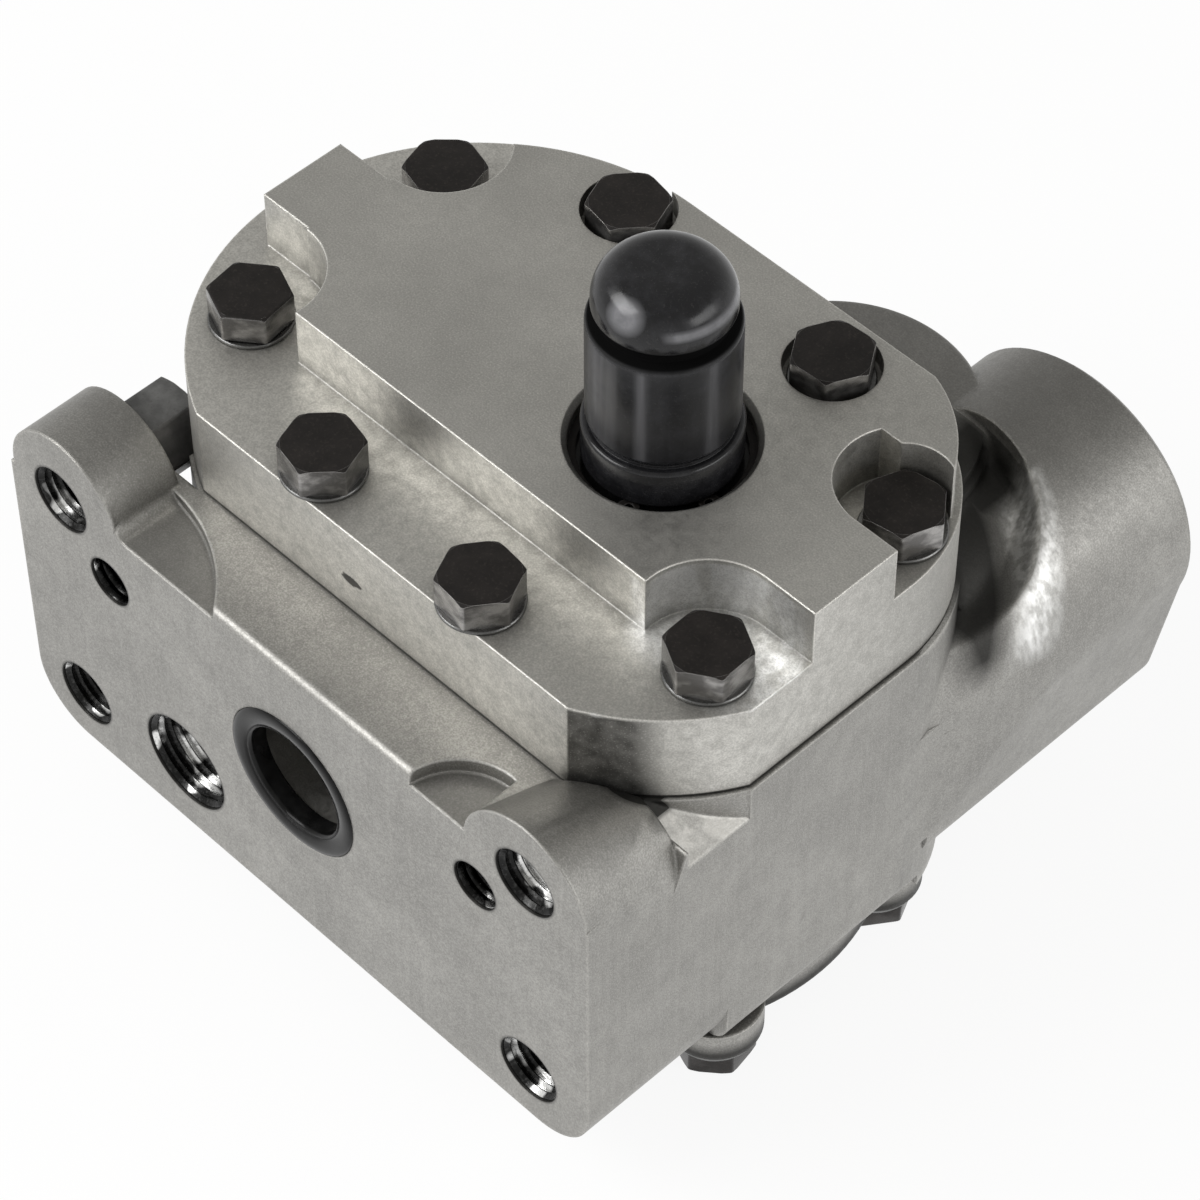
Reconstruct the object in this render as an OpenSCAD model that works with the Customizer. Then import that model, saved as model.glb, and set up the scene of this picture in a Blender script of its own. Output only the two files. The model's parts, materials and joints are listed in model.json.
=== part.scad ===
// Hydraulic external gear pump with a side mounting flange.
// Millimetres. +Z is up along the drive shaft. The origin lies on the drive shaft axis
// at the level of the front cover's top face. +Y points away from the mounting flange.

/* [Output] */
// sub-part to build

/* [Gear pair] */
// distance between the two gear axes
centre_distance = 40; // [39.5:0.5:42]
// number of teeth on each gear
tooth_count = 12; // [11:1:13]
// pressure angle of the teeth in degrees
pressure_angle = 25; // [24:1:26]
// angle taken off each tooth flank for backlash, in degrees
backlash_angle = 0.3; // [0.2:0.05:0.5]
// running gap at the tooth tips
tip_gap = 0.08; // [0.05:0.01:0.1]
// width of the gears along their axis
gear_width = 30; // [26:1:32]
// gap between a gear's side and its bearing block
side_gap = 0.1; // [0.05:0.01:0.15]

/* [Shafts] */
// radius of the shaft journals
journal_r = 10; // [9.6:0.1:10.2]
// radial running gap of a journal in its bush or seal
journal_gap = 0.05; // [0.03:0.01:0.08]
// height of the journal's upper shoulder above the cover's top face
shoulder_z = -2.6; // [-2.8:0.1:-2.4]
// outer radius of the splined end
spline_r = 9.1; // [8.8:0.1:9.2]
// depth of the spline grooves
spline_depth = 1.1; // [0.9:0.1:1.3]
// number of splines
spline_count = 13; // [11:1:15]
// height of the splined end's tip above the cover's top face
spline_tip_z = 30.5; // [29:0.5:31]

/* [Bearings] */
// outer radius of the bushes
bush_r = 12.5; // [12:0.1:13]
// gap between a bearing block and the chamber wall
block_gap = 0.08; // [0.05:0.01:0.1]
// inner radius of the block seal
block_seal_in_r = 14; // [13.6:0.1:14.4]
// outer radius of the block seal
block_seal_out_r = 16; // [15.6:0.1:16.4]
// depth of the block seal
block_seal_h = 1.6; // [1.4:0.1:2]

/* [Front cover] */
// radius of the cover's left end
cover_end_r = 47.5; // [47:0.25:48.5]
// distance of the left end's centre from the drive axis
cover_end_x = 44.5; // [44:0.25:45.5]
// half width of the cover along Y
cover_half_y = 43.2; // [42.8:0.2:44]
// distance of the cover's right wall from the drive axis
cover_right_x = 42.8; // [42.4:0.2:43]
// radius of the bowed corner at the front right
front_corner_r = 45; // [44:0.5:46]
// centre of the bowed corner along X
front_corner_x = 2.6; // [2.2:0.1:3]
// centre of the bowed corner along Y
front_corner_y = -2.8; // [-3:0.1:-2.4]
// left limit of the bowed corner
front_corner_from = 22.3; // [22:0.1:23]
// radius of the corner at the rear right
rear_corner_r = 30; // [28:0.5:31]
// thickness of the whole cover
cover_h = 30.8; // [30:0.2:32]
// height of the raised land above the ledge
land_h = 11.7; // [11:0.1:12.5]
// front edge of the raised land
land_front_y = -23.5; // [-24:0.25:-23]
// back edge of the raised land
land_back_y = 40.4; // [40:0.1:41]
// radius of the land's left end
land_end_r = 48.6; // [48:0.2:49.4]
// centre of the land's left end along X
land_end_x = -33.8; // [-34.4:0.2:-33.2]
// left end of the square lug on the land
lug_left_x = -85.2; // [-86:0.2:-84]
// front side of the square lug
lug_front_y = -8.9; // [-9.2:0.1:-8.6]
// back side of the square lug
lug_back_y = 8.4; // [8:0.1:8.8]
// radius of the pocket round the left ledge bolt
left_pocket_r = 13; // [12.6:0.1:13.2]
// radius of the pocket round the front corner bolt
corner_pocket_r = 12.7; // [12.2:0.1:13.2]
// radius of the pocket round the right side bolt
side_pocket_r = 11.7; // [11.2:0.1:12.2]
// back limit of the side pocket
side_pocket_back = 26; // [25:0.25:27]
// radius of the pocket round the rear left bolt
rear_pocket_r = 11.7; // [11.2:0.1:12]
// radius of the counterbores in the land
counterbore_r = 8.3; // [8.25:0.05:8.6]
// depth of the counterbore at the back right
shallow_depth = 3.5; // [3:0.1:4]
// depth of the counterbore at the back middle
middle_depth = 4.6; // [4.2:0.1:5]

/* [Cover bolts] */
// radius of the bolt shanks, at the thread's outside
bolt_r = 4; // [3.9:0.05:4.1]
// clearance of the bolt shanks in the covers
bolt_gap = 0.5; // [0.4:0.1:0.6]
// corner radius of the hexagon heads
head_r = 7.5; // [7.4:0.05:7.6]
// height of the heads
head_h = 5.3; // [5:0.1:5.6]
// radius of the washers
washer_r = 7.9; // [7.7:0.1:8]
// thickness of the washers
washer_h = 1.2; // [1:0.1:1.4]
// depth of the bolt holes in the housing
thread_depth = 17; // [15:0.5:18]

/* [Housing] */
// overhang of the housing past the cover
wall_step = 0.8; // [0.6:0.1:1]
// depth of the housing from its deck to its underside
housing_h = 67; // [66:0.5:68]
// distance of the flange face from the drive axis
flange_y = -59.5; // [-60.5:0.25:-59]
// back of the flange block
flange_back_y = -43.6; // [-44:0.2:-43.4]
// radius of the round-over on the deck's front edge
deck_round_r = 1.6; // [1:0.1:2]
// depth of the shallow milled scoops in the deck
scoop_depth = 2; // [1.4:0.1:2.4]
// radius of the left milled scoop
left_scoop_r = 33.4; // [33:0.2:34]
// radius of the right milled scoop
right_scoop_r = 12.2; // [12:0.1:12.6]
// back end of the right lobe
right_lobe_back = -33.5; // [-34:0.25:-33]
// gap between the right lobe and the cover
lobe_gap = 1; // [0.8:0.1:1.2]

/* [Mounting flange] */
// hole pitch along X
hole_pitch_x = 112; // [111:0.5:113]
// hole pitch along Z
hole_pitch_z = 51; // [50.5:0.5:51.5]
// centre of the pattern along X
pattern_x = -26.4; // [-26.8:0.1:-26]
// radius of the mounting holes
mount_hole_r = 6.5; // [6.3:0.1:6.7]
// depth of the blind lower hole
blind_depth = 26; // [24:0.5:27]
// radius of the round lobe at the upper right hole
lobe_r = 13.8; // [13.4:0.1:14]
// radius of the round lobe at the upper left hole
left_lobe_r = 13.2; // [12.8:0.1:13.6]
// shift of the left lobe to the right of its hole
left_lobe_dx = 1.1; // [0.8:0.1:1.4]
// shift of the left lobe above its hole
left_lobe_dz = 1.4; // [1:0.1:1.8]
// back end of the left lobe
left_lobe_back = -45.2; // [-46:0.2:-44.6]
// radius of the hollow between the left lobe and the deck
web_round_r = 3.5; // [3:0.25:4]
// distance from the left holes to the flange's left edge
left_margin = 12.9; // [12.6:0.1:13.2]
// radius of the flange's lower corners
low_corner_r = 12; // [11:0.25:13]
// distance from the lower holes to the flange's underside
low_margin = 12.2; // [12:0.1:12.6]
// radius of the dowel holes
dowel_hole_r = 4.75; // [4.5:0.05:5]
// depth of the dowel holes
dowel_hole_depth = 14; // [12:0.5:15]
// left dowel hole along X
dowel_hole_left_x = -71.2; // [-71.6:0.2:-70.8]
// right dowel hole along X
dowel_hole_right_x = 18; // [17.6:0.2:18.4]
// height of the two dowel holes above the middle of the hole pattern
dowel_hole_rise = 13.8; // [13.4:0.1:14.2]

/* [Ports] */
// radius of the outlet bore
outlet_r = 11.2; // [11:0.1:11.4]
// depth of the outlet's wide bore
outlet_depth = 24; // [20:0.5:28]
// radius of the narrower passage behind the outlet's bore
outlet_passage_r = 8.6; // [8:0.1:9.2]
// outer radius of the outlet's seal groove
outlet_groove_r = 14.9; // [14.7:0.1:15.1]
// radius of the outlet seal's section
outlet_ring_r = 1.5; // [1.4:0.05:1.6]
// stand-out of the outlet seal from the flange face
outlet_ring_out = 0.5; // [0.3:0.1:0.7]
// radius of the small port
small_port_r = 9.8; // [9.5:0.1:10.1]
// small port along X
small_port_x = -55.4; // [-56:0.1:-55]
// depth of the small port below the middle of the hole pattern
small_port_drop = 20.7; // [20.3:0.1:21.1]
// depth of the small port's wide bore
small_port_depth = 18; // [16:0.5:20]
// radius of the small port's inner passage
small_passage_r = 5; // [4.5:0.1:5.5]
// radius of the suction bore
suction_r = 17; // [16.5:0.25:17.5]
// outer radius of the suction boss
boss_r = 26.3; // [26:0.1:26.6]
// suction boss along X
boss_x = 22; // [21.6:0.1:22.4]
// height of the suction boss axis
boss_z = -55; // [-55.4:0.1:-54.6]
// height of the boss's lower part above the housing's floor
skirt_rise = 1.8; // [1.4:0.1:2.2]
// far end of the suction boss
boss_end_y = 81; // [80:0.5:82]
// start of the boss's taper inside the housing
boss_root_y = 20; // [19:0.25:21]
// radius of the boss at the start of its taper
boss_root_r = 20.7; // [20.2:0.1:21]
// end of the boss's taper
boss_taper_y = 46; // [45:0.25:47]
// radius of the path of the trough between the cover and the boss
trough_path_r = 33; // [32.4:0.2:33.6]
// radius of the trough's section
trough_r = 14; // [13.5:0.25:14.5]
// height of the trough's centre
trough_z = -28; // [-28.5:0.25:-27.5]
// radius of the inner suction passages
passage_r = 12; // [11.5:0.25:12.5]
// height of the inner suction passages
passage_z = -62; // [-62.4:0.2:-61.6]
// the crossing passage along Y
cross_y = 43.5; // [43:0.25:44]
// the feed passage along X
feed_x = -16; // [-16.5:0.25:-15.5]

/* [Rear cover] */
// thickness of the rear cover
rear_h = 6.4; // [6:0.2:7]
// radius of the rear cover's right end
rear_right_r = 43; // [42.5:0.25:43.25]
// radius of the rear cover's left end
rear_left_r = 45; // [44.5:0.25:45.5]
// radius of the ears round the rear bolts
ear_r = 8.6; // [8.4:0.1:8.8]
// thickness of the rear washers
rear_washer_h = 1.6; // [1.4:0.1:1.8]

/* [Shaft seal and cap] */
// radius of the seal bore
seal_bore_r = 15.3; // [15:0.1:15.6]
// depth of the seal bore
seal_bore_h = 11.2; // [10.8:0.2:11.6]
// depth of the seal's top below the cover face
seal_top = 4.2; // [4:0.1:4.4]
// thickness of the retaining ring
ring_h = 1.2; // [1:0.1:1.3]
// outer radius of the retaining ring in its groove
ring_out_r = 16.3; // [16.1:0.1:16.5]
// inner radius of the retaining ring
ring_in_r = 13.9; // [13.8:0.1:14.2]
// outer radius of the cap's foot ring
cap_foot_r = 13.2; // [13:0.1:13.4]
// outer radius of the cap's body
cap_body_r = 12.5; // [12.3:0.1:12.7]
// outer radius of the cap's dome
cap_dome_r = 11.5; // [11.3:0.1:11.7]
// radius of the dome's rounded edge
cap_dome_round = 6.2; // [5.8:0.1:6.6]
// inner radius of the cap
cap_in_r = 9.5; // [9.45:0.05:9.6]
// height of the cap's top
cap_top_z = 38.2; // [37.6:0.2:39]
// height of the cap's shoulder
cap_shoulder_z = 28; // [27.4:0.2:28.4]

/* [Seals and pins] */
// inner radius of the flat housing seal round each gear bore
case_seal_in_r = 24.5; // [24.4:0.05:24.6]
// width of the flat housing seal
case_seal_w = 1.4; // [1.2:0.1:1.5]
// depth of the flat housing seal
case_seal_h = 1.6; // [1.4:0.1:2]
// radius of the dowel pins
pin_r = 3; // [2.8:0.1:3.2]
// length of the dowel pins
pin_len = 16; // [14:0.5:18]
// corner radius of the hexagon plug in the upper left hole
plug_head_r = 7.4; // [7.2:0.1:7.8]
// length of the plug's head
plug_head_h = 10.4; // [10:0.2:10.8]
// length of the plug's shank in the hole
plug_shank_h = 3; // [2.6:0.2:3.4]
// radius of the plug's shank
plug_shank_r = 5; // [4.8:0.1:5.2]
// radius of the spanner relief round the plug
plug_relief_r = 11; // [10.6:0.1:11.4]
// clearance of the plug's shank in the hole
plug_gap = 0.05; // [0.03:0.01:0.08]

/* [Hidden] */
$fn = 96;
eps = 0.05;
driven_x = -centre_distance;
pitch_r = centre_distance / 2;
gear_module = centre_distance / tooth_count;
tip_r = pitch_r + gear_module;
root_r = pitch_r - 1.25 * gear_module;
base_r = pitch_r * cos(pressure_angle);
chamber_r = tip_r + tip_gap;
block_r = chamber_r - block_gap;
deck_z = -cover_h;
ledge_z = -land_h;
floor_z = deck_z - housing_h;
block_h = (housing_h - gear_width - 2 * side_gap) / 2;
gear_top_z = deck_z - block_h - side_gap;
gear_low_z = gear_top_z - gear_width;
flange_t = flange_back_y - flange_y;
hole_right_x = pattern_x + hole_pitch_x / 2;
hole_left_x = pattern_x - hole_pitch_x / 2;
pattern_z = floor_z + low_margin + hole_pitch_z / 2;
hole_top_z = pattern_z + hole_pitch_z / 2;
hole_low_z = pattern_z - hole_pitch_z / 2;
flange_floor_z = hole_low_z - low_margin;
dowel_hole_z = pattern_z + dowel_hole_rise;
small_port_z = pattern_z - small_port_drop;
skirt_floor_z = floor_z + skirt_rise;
wide = 4 * cover_end_r;
wall_x = cover_right_x + wall_step;
flange_left_x = hole_left_x - left_margin;
left_lobe_x = hole_left_x + left_lobe_dx;
left_lobe_z = hole_top_z + left_lobe_dz;
scoop_z = deck_z - scoop_depth;
low_corner_z = flange_floor_z + low_corner_r;
rear_z = floor_z - rear_h;
groove_in_r = outlet_groove_r - 2 * outlet_ring_r;
groove_depth = 2 * outlet_ring_r - outlet_ring_out;
ledge_seat = ledge_z;
shallow_seat = -shallow_depth;
middle_seat = -middle_depth;
thread_end_z = deck_z - thread_depth;
left_bolt = [-74.1, -22.3];
corner_bolt = [32.4, -22.3];
side_bolt = [33.7, 20.6];
rear_left_bolt = [-73, 20.9];
// Each cover bolt: x, y, seat height, turn of the head.
cover_bolt_list = [
  [left_bolt[0], left_bolt[1], ledge_seat, 8],
  [-40.6, -36.6, ledge_seat, 18],
  [-2.7, -37.6, ledge_seat, 24],
  [corner_bolt[0], corner_bolt[1], ledge_seat, 2],
  [side_bolt[0], side_bolt[1], ledge_seat, 40],
  [8.1, 30.6, shallow_seat, 34],
  [-40.2, 32.2, middle_seat, 20],
  [rear_left_bolt[0], rear_left_bolt[1], ledge_seat, 15]
];
// Each rear bolt: x, y, turn of the head.
rear_bolt_list = [
  [34.8, -20.8, 10],
  [32.4, 21.4, 25],
  [-1, -36, 5],
  [-40, -36, 15],
  [-73.6, -21.4, 40],
  [-73.6, 21.4, 20],
  [-40, 35.4, 30],
  [-1, 35.4, 12]
];
// Places of the two dowel pins.
pin_list = [[-58, -31.5], [22, 33]];

metal_light = [0.77, 0.76, 0.74];
metal_cast = [0.68, 0.67, 0.65];
metal_steel = [0.6, 0.6, 0.61];
metal_black = [0.09, 0.09, 0.1];
metal_bronze = [0.7, 0.5, 0.28];
plastic_black = [0.03, 0.03, 0.035];
rubber_black = [0.05, 0.05, 0.05];

// Helpers

// Profile drawn in X and Z, reaching from y_from to y_to.
module along_y(y_from, y_to) {
  translate([0, y_to, 0])
    rotate([90, 0, 0])
      linear_extrude(height = y_to - y_from)
        children();
}

// Round bar along Y.
module y_bar(x, z, r, y_from, y_to) {
  translate([x, y_from, z])
    rotate([-90, 0, 0])
      cylinder(h = y_to - y_from, r = r);
}

// Outline of the front cover, grown by g.
module cover_outline(g = 0) {
  intersection() {
    translate([-cover_end_x, 0])
      circle(r = cover_end_r + g);
    translate([-wide, -cover_half_y - g])
      square([wide - cover_end_x, 2 * (cover_half_y + g)]);
  }
  difference() {
    translate([-cover_end_x - 1, -cover_half_y - g])
      square([cover_end_x + 1 + cover_right_x + g, 2 * (cover_half_y + g)]);
    // bowed front right corner
    difference() {
      translate([front_corner_from, -cover_half_y - 10])
        square([60, cover_half_y - 13]);
      translate([front_corner_x, front_corner_y])
        circle(r = front_corner_r + g);
    }
    rear_corner_cut(g);
  }
}

// Area removed outside the rear right corner.
module rear_corner_cut(g = 0) {
  difference() {
    translate([cover_right_x - rear_corner_r, cover_half_y - rear_corner_r])
      square([rear_corner_r + 20, rear_corner_r + 20]);
    translate([cover_right_x - rear_corner_r, cover_half_y - rear_corner_r])
      circle(r = rear_corner_r + g);
  }
}

// Outline of the housing's main block. Its front right corner is left square.
module housing_outline() {
  intersection() {
    translate([-cover_end_x, 0])
      circle(r = cover_end_r + wall_step);
    translate([-wide, -cover_half_y - wall_step])
      square([wide - cover_end_x, 2 * (cover_half_y + wall_step)]);
  }
  difference() {
    translate([-cover_end_x - 1, -cover_half_y - wall_step])
      square([cover_end_x + 1 + wall_x, 2 * (cover_half_y + wall_step)]);
    rear_corner_cut(wall_step);
  }
}

// Two circles round the gear axes.
module twin_circles(r) {
  circle(r = r);
  translate([driven_x, 0])
    circle(r = r);
}

// Long rounded outline round both gear axes.
module stadium(r) {
  twin_circles(r);
  translate([driven_x, -r])
    square([centre_distance, 2 * r]);
}

// Hexagon head with a chamfered rim, standing on z = 0.
module hex_head(corner_r, h) {
  intersection() {
    cylinder(h = h, r = corner_r, $fn = 6);
    union() {
      cylinder(h = h - 0.7, r = corner_r + 1);
      translate([0, 0, h - 0.7])
        cylinder(h = 0.7, r1 = corner_r, r2 = corner_r - 1.2);
    }
  }
}

// Angle by which an involute has turned at radius r.
function involute_angle(r) = sqrt(pow(r / base_r, 2) - 1) * 180 / PI - acos(base_r / r);
// Half angle of a tooth at radius r.
function tooth_half(r) =
  90 / tooth_count + tan(pressure_angle) * 180 / PI - pressure_angle
  - involute_angle(r) - backlash_angle;
function on_circle(r, a) = [r * cos(a), r * sin(a)];
flank_steps = 6;
function flank_r(i) = base_r + (tip_r - base_r) * i / flank_steps;
// Points of one tooth whose middle stands at angle a.
function tooth_points(a) = concat(
  [on_circle(root_r, a - tooth_half(base_r))],
  [for (i = [0 : flank_steps]) on_circle(flank_r(i), a - tooth_half(flank_r(i)))],
  [for (i = [flank_steps : -1 : 0]) on_circle(flank_r(i), a + tooth_half(flank_r(i)))],
  [on_circle(root_r, a + tooth_half(base_r))]
);
function gear_points() = [
  for (k = [0 : tooth_count - 1])
    for (p = tooth_points(k * 360 / tooth_count)) p
];

// Points of the splined end.
spline_step = 360 / spline_count;
function spline_points() = [
  for (k = [0 : spline_count - 1])
    for (q = [[-0.36, -1], [-0.2, 0], [0.2, 0], [0.36, -1]])
      on_circle(spline_r + q[1] * spline_depth, (k + q[0]) * spline_step)
];

// Housing

// Left lobe with the hollow that runs from it down to the deck.
module left_lobe(y_from, y_to) {
  round_z = scoop_z + web_round_r;
  round_x = left_lobe_x + sqrt(pow(left_lobe_r + web_round_r, 2) - pow(round_z - left_lobe_z, 2));
  y_bar(left_lobe_x, left_lobe_z, left_lobe_r, y_from, y_to);
  along_y(y_from, y_to)
    difference() {
      polygon([
        [left_lobe_x, left_lobe_z],
        [round_x, round_z],
        [round_x, scoop_z - 1],
        [left_lobe_x, scoop_z - 1]
      ]);
      translate([round_x, round_z])
        circle(r = web_round_r);
    }
}

module lobes() {
  left_lobe(flange_y, left_lobe_back);
  difference() {
    y_bar(hole_right_x, hole_top_z, lobe_r, flange_y, right_lobe_back);
    translate([0, 0, deck_z])
      linear_extrude(height = cover_h)
        cover_outline(lobe_gap);
  }
}

module flange_profile() {
  // middle
  translate([flange_left_x, low_corner_z])
    square([wall_x - flange_left_x, hole_top_z - low_corner_z]);
  // up to the deck
  translate([hole_left_x, hole_top_z - 1])
    square([hole_pitch_x, deck_z - hole_top_z + 1]);
  // underside between the rounded corners
  translate([flange_left_x + low_corner_r, flange_floor_z])
    square([wall_x - flange_left_x - 2 * low_corner_r, low_corner_r + 1]);
  for (x = [flange_left_x + low_corner_r, wall_x - low_corner_r])
    translate([x, low_corner_z])
      circle(r = low_corner_r);
}

module boss_shape() {
  difference() {
    union() {
      // round boss that tapers into the housing
      translate([boss_x, 0, boss_z])
        rotate([-90, 0, 0])
          rotate_extrude()
            boss_section();
      boss_skirt();
    }
    boss_trough();
  }
}

// Lower part of the boss that runs on from the side wall.
module boss_skirt() {
  skirt_x = wall_x - 0.3;
  skirt_r = low_corner_r;
  skirt_z = skirt_floor_z + skirt_r;
  along_y(22, boss_end_y - 0.8) {
    translate([2, skirt_z])
      square([skirt_x - 2, 24]);
    translate([2 + skirt_r, skirt_floor_z])
      square([skirt_x - 2 - 2 * skirt_r, 36]);
    for (x = [2 + skirt_r, skirt_x - skirt_r])
      translate([x, skirt_z])
        circle(r = skirt_r);
  }
  // flat cheek from the wall to the side of the round boss
  hull() {
    along_y(22, 23)
      polygon([[30, boss_z - 3], [skirt_x - 0.3, boss_z - 3], [skirt_x, skirt_z], [30, skirt_z]]);
    along_y(boss_taper_y, boss_end_y - 0.8)
      polygon([
        [30, boss_z - 3],
        [boss_x + 0.9865 * (boss_r - 0.2), boss_z - 4.2],
        [skirt_x - 0.16, skirt_z - 1.9],
        [30, skirt_z - 2]
      ]);
  }
}

// Section of the boss, radius against its length along Y.
module boss_section() {
  polygon([
    [0, boss_root_y],
    [boss_root_r, boss_root_y],
    [boss_r, boss_taper_y],
    [boss_r, boss_end_y - 0.8],
    [boss_r - 0.8, boss_end_y],
    [0, boss_end_y]
  ]);
}

// Round trough that keeps the boss clear of the cover's corner.
module boss_trough() {
  intersection() {
    translate([11, 14.5, 0])
      rotate_extrude() {
        translate([trough_path_r, trough_z])
          circle(r = trough_r);
        translate([trough_path_r - trough_r, trough_z])
          square([2 * trough_r, 40]);
      }
    translate([4, 0, -60])
      cube([60, 90, 80]);
  }
}

// Rounded lump of the casting behind the drive gear.
module rear_bulge() {
  translate([0, 0, floor_z + 2])
    linear_extrude(height = housing_h - 5.5)
      bulge_outline(0);
  translate([0, 0, floor_z + 2])
    linear_extrude(height = housing_h - 3.5)
      bulge_outline(-1.2);
}

module bulge_outline(g) {
  translate([-1, 46])
    circle(r = 24 + g);
  translate([-14, 40])
    circle(r = 23 + g);
}

module outer_casting() {
  difference() {
    union() {
      translate([0, 0, floor_z])
        linear_extrude(height = housing_h)
          housing_outline();
      along_y(flange_y, -30)
        intersection() {
          flange_profile();
          translate([driven_x - 20, flange_floor_z - 1])
            square([wall_x - driven_x + 20, wide]);
        }
      along_y(flange_y, flange_back_y)
        flange_profile();
      lobes();
      boss_shape();
      rear_bulge();
    }
    // rounded lower right edge
    lower_edge_round();
  }
}

// Rounds the lower right edge beside the flange.
module lower_edge_round() {
  along_y(flange_y - 1, -27)
    lower_edge_profile(low_corner_r);
  along_y(-28, 21)
    lower_edge_profile(low_corner_r / 2);
}

module lower_edge_profile(r) {
  difference() {
    translate([wall_x - r, flange_floor_z - 3])
      square([r + 5, r + 3]);
    translate([wall_x - r, flange_floor_z + r])
      circle(r = r);
  }
}

// Rounds the deck's front edge between the two lobes.
module deck_edge_round() {
  x_from = left_lobe_x + left_lobe_r - 0.4;
  x_to = hole_right_x - lobe_r + 0.4;
  difference() {
    translate([x_from, flange_y - 1, deck_z - deck_round_r])
      cube([x_to - x_from, deck_round_r + 1, deck_round_r + 1]);
    translate([x_from - 1, flange_y + deck_round_r, deck_z - deck_round_r])
      rotate([0, 90, 0])
        cylinder(h = x_to - x_from + 2, r = deck_round_r);
  }
}

// Shallow milled scoops beside the lobes.
module deck_scoops() {
  difference() {
    union() {
      translate([-70, -80, deck_z - scoop_depth])
        cylinder(h = scoop_depth + 1, r = left_scoop_r);
      translate([15.4, -60.6, deck_z - scoop_depth - 1])
        cylinder(h = scoop_depth + 2, r = right_scoop_r);
    }
    left_lobe(flange_y - 9, left_lobe_back);
    y_bar(hole_right_x, hole_top_z, lobe_r, flange_y - 9, right_lobe_back);
    translate([-wide / 3, -cover_half_y - wall_step - 1.4, deck_z - 2 * scoop_depth])
      cube([wide, cover_half_y, 4 * scoop_depth]);
  }
}

// Sloped flat at the deck's right corner.
module corner_flat() {
  difference() {
    translate([32.2, -37.4, deck_z + 0.6])
      rotate([0, 35, 0])
        translate([0, 0, 0])
          cube([20, 14, 14]);
    translate([0, 0, deck_z - 20])
      linear_extrude(height = 60)
        cover_outline(lobe_gap - 0.4);
  }
}

module mounting_holes() {
  y_bar(hole_left_x, hole_top_z, mount_hole_r, flange_y - 1, left_lobe_back - plug_shank_h);
  y_bar(hole_left_x, hole_top_z, plug_shank_r + plug_gap, flange_y, left_lobe_back + 1);
  y_bar(hole_left_x, hole_low_z, mount_hole_r, flange_y - 1, flange_back_y + 1);
  y_bar(hole_right_x, hole_top_z, mount_hole_r, flange_y - 1, flange_back_y);
  y_bar(hole_right_x, hole_low_z, mount_hole_r, flange_y - 1, flange_y + blind_depth);
  for (x = [dowel_hole_left_x, dowel_hole_right_x])
    y_bar(x, dowel_hole_z, dowel_hole_r, flange_y - 1, flange_y + dowel_hole_depth);
}

module flow_passages() {
  // outlet
  y_bar(pattern_x, pattern_z, outlet_r, flange_y - 1, flange_y + outlet_depth);
  y_bar(pattern_x, pattern_z, outlet_passage_r, flange_y, -13);
  difference() {
    y_bar(pattern_x, pattern_z, outlet_groove_r, flange_y - 1, flange_y + groove_depth);
    y_bar(pattern_x, pattern_z, groove_in_r, flange_y - 2, flange_y + groove_depth + 1);
  }
  // small port
  y_bar(small_port_x, small_port_z, small_port_r, flange_y - 1, flange_y + small_port_depth);
  y_bar(small_port_x, small_port_z, small_passage_r, flange_y, -16);
  // suction
  y_bar(boss_x, boss_z, suction_r, cross_y - 6, boss_end_y + 1);
  translate([feed_x, cross_y, passage_z])
    rotate([0, 90, 0])
      cylinder(h = boss_x - feed_x, r = passage_r);
  y_bar(feed_x, passage_z, passage_r, 13, cross_y);
}

module relief_for_plug() {
  y_bar(hole_left_x, hole_top_z, plug_relief_r, left_lobe_back, left_lobe_back + plug_head_h + 0.6);
}

module seal_groove(z_low) {
  translate([0, 0, z_low])
    linear_extrude(height = case_seal_h)
      difference() {
        stadium(case_seal_in_r + case_seal_w);
        stadium(case_seal_in_r);
      }
}

module main_housing() {
  color(metal_cast)
    difference() {
      outer_casting();
      // gear chamber
      translate([0, 0, floor_z - 1])
        linear_extrude(height = housing_h + 2)
          twin_circles(chamber_r);
      flow_passages();
      mounting_holes();
      relief_for_plug();
      deck_edge_round();
      deck_scoops();
      corner_flat();
      seal_groove(deck_z - case_seal_h);
      seal_groove(floor_z);
      for (b = cover_bolt_list)
        translate([b[0], b[1], thread_end_z])
          cylinder(h = thread_depth + 1, r = bolt_r);
      for (b = rear_bolt_list)
        translate([b[0], b[1], floor_z - 1])
          cylinder(h = thread_depth + 1, r = bolt_r);
      for (p = pin_list)
        translate([p[0], p[1], deck_z - pin_len / 2])
          cylinder(h = pin_len, r = pin_r);
    }
}

// Covers

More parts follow.
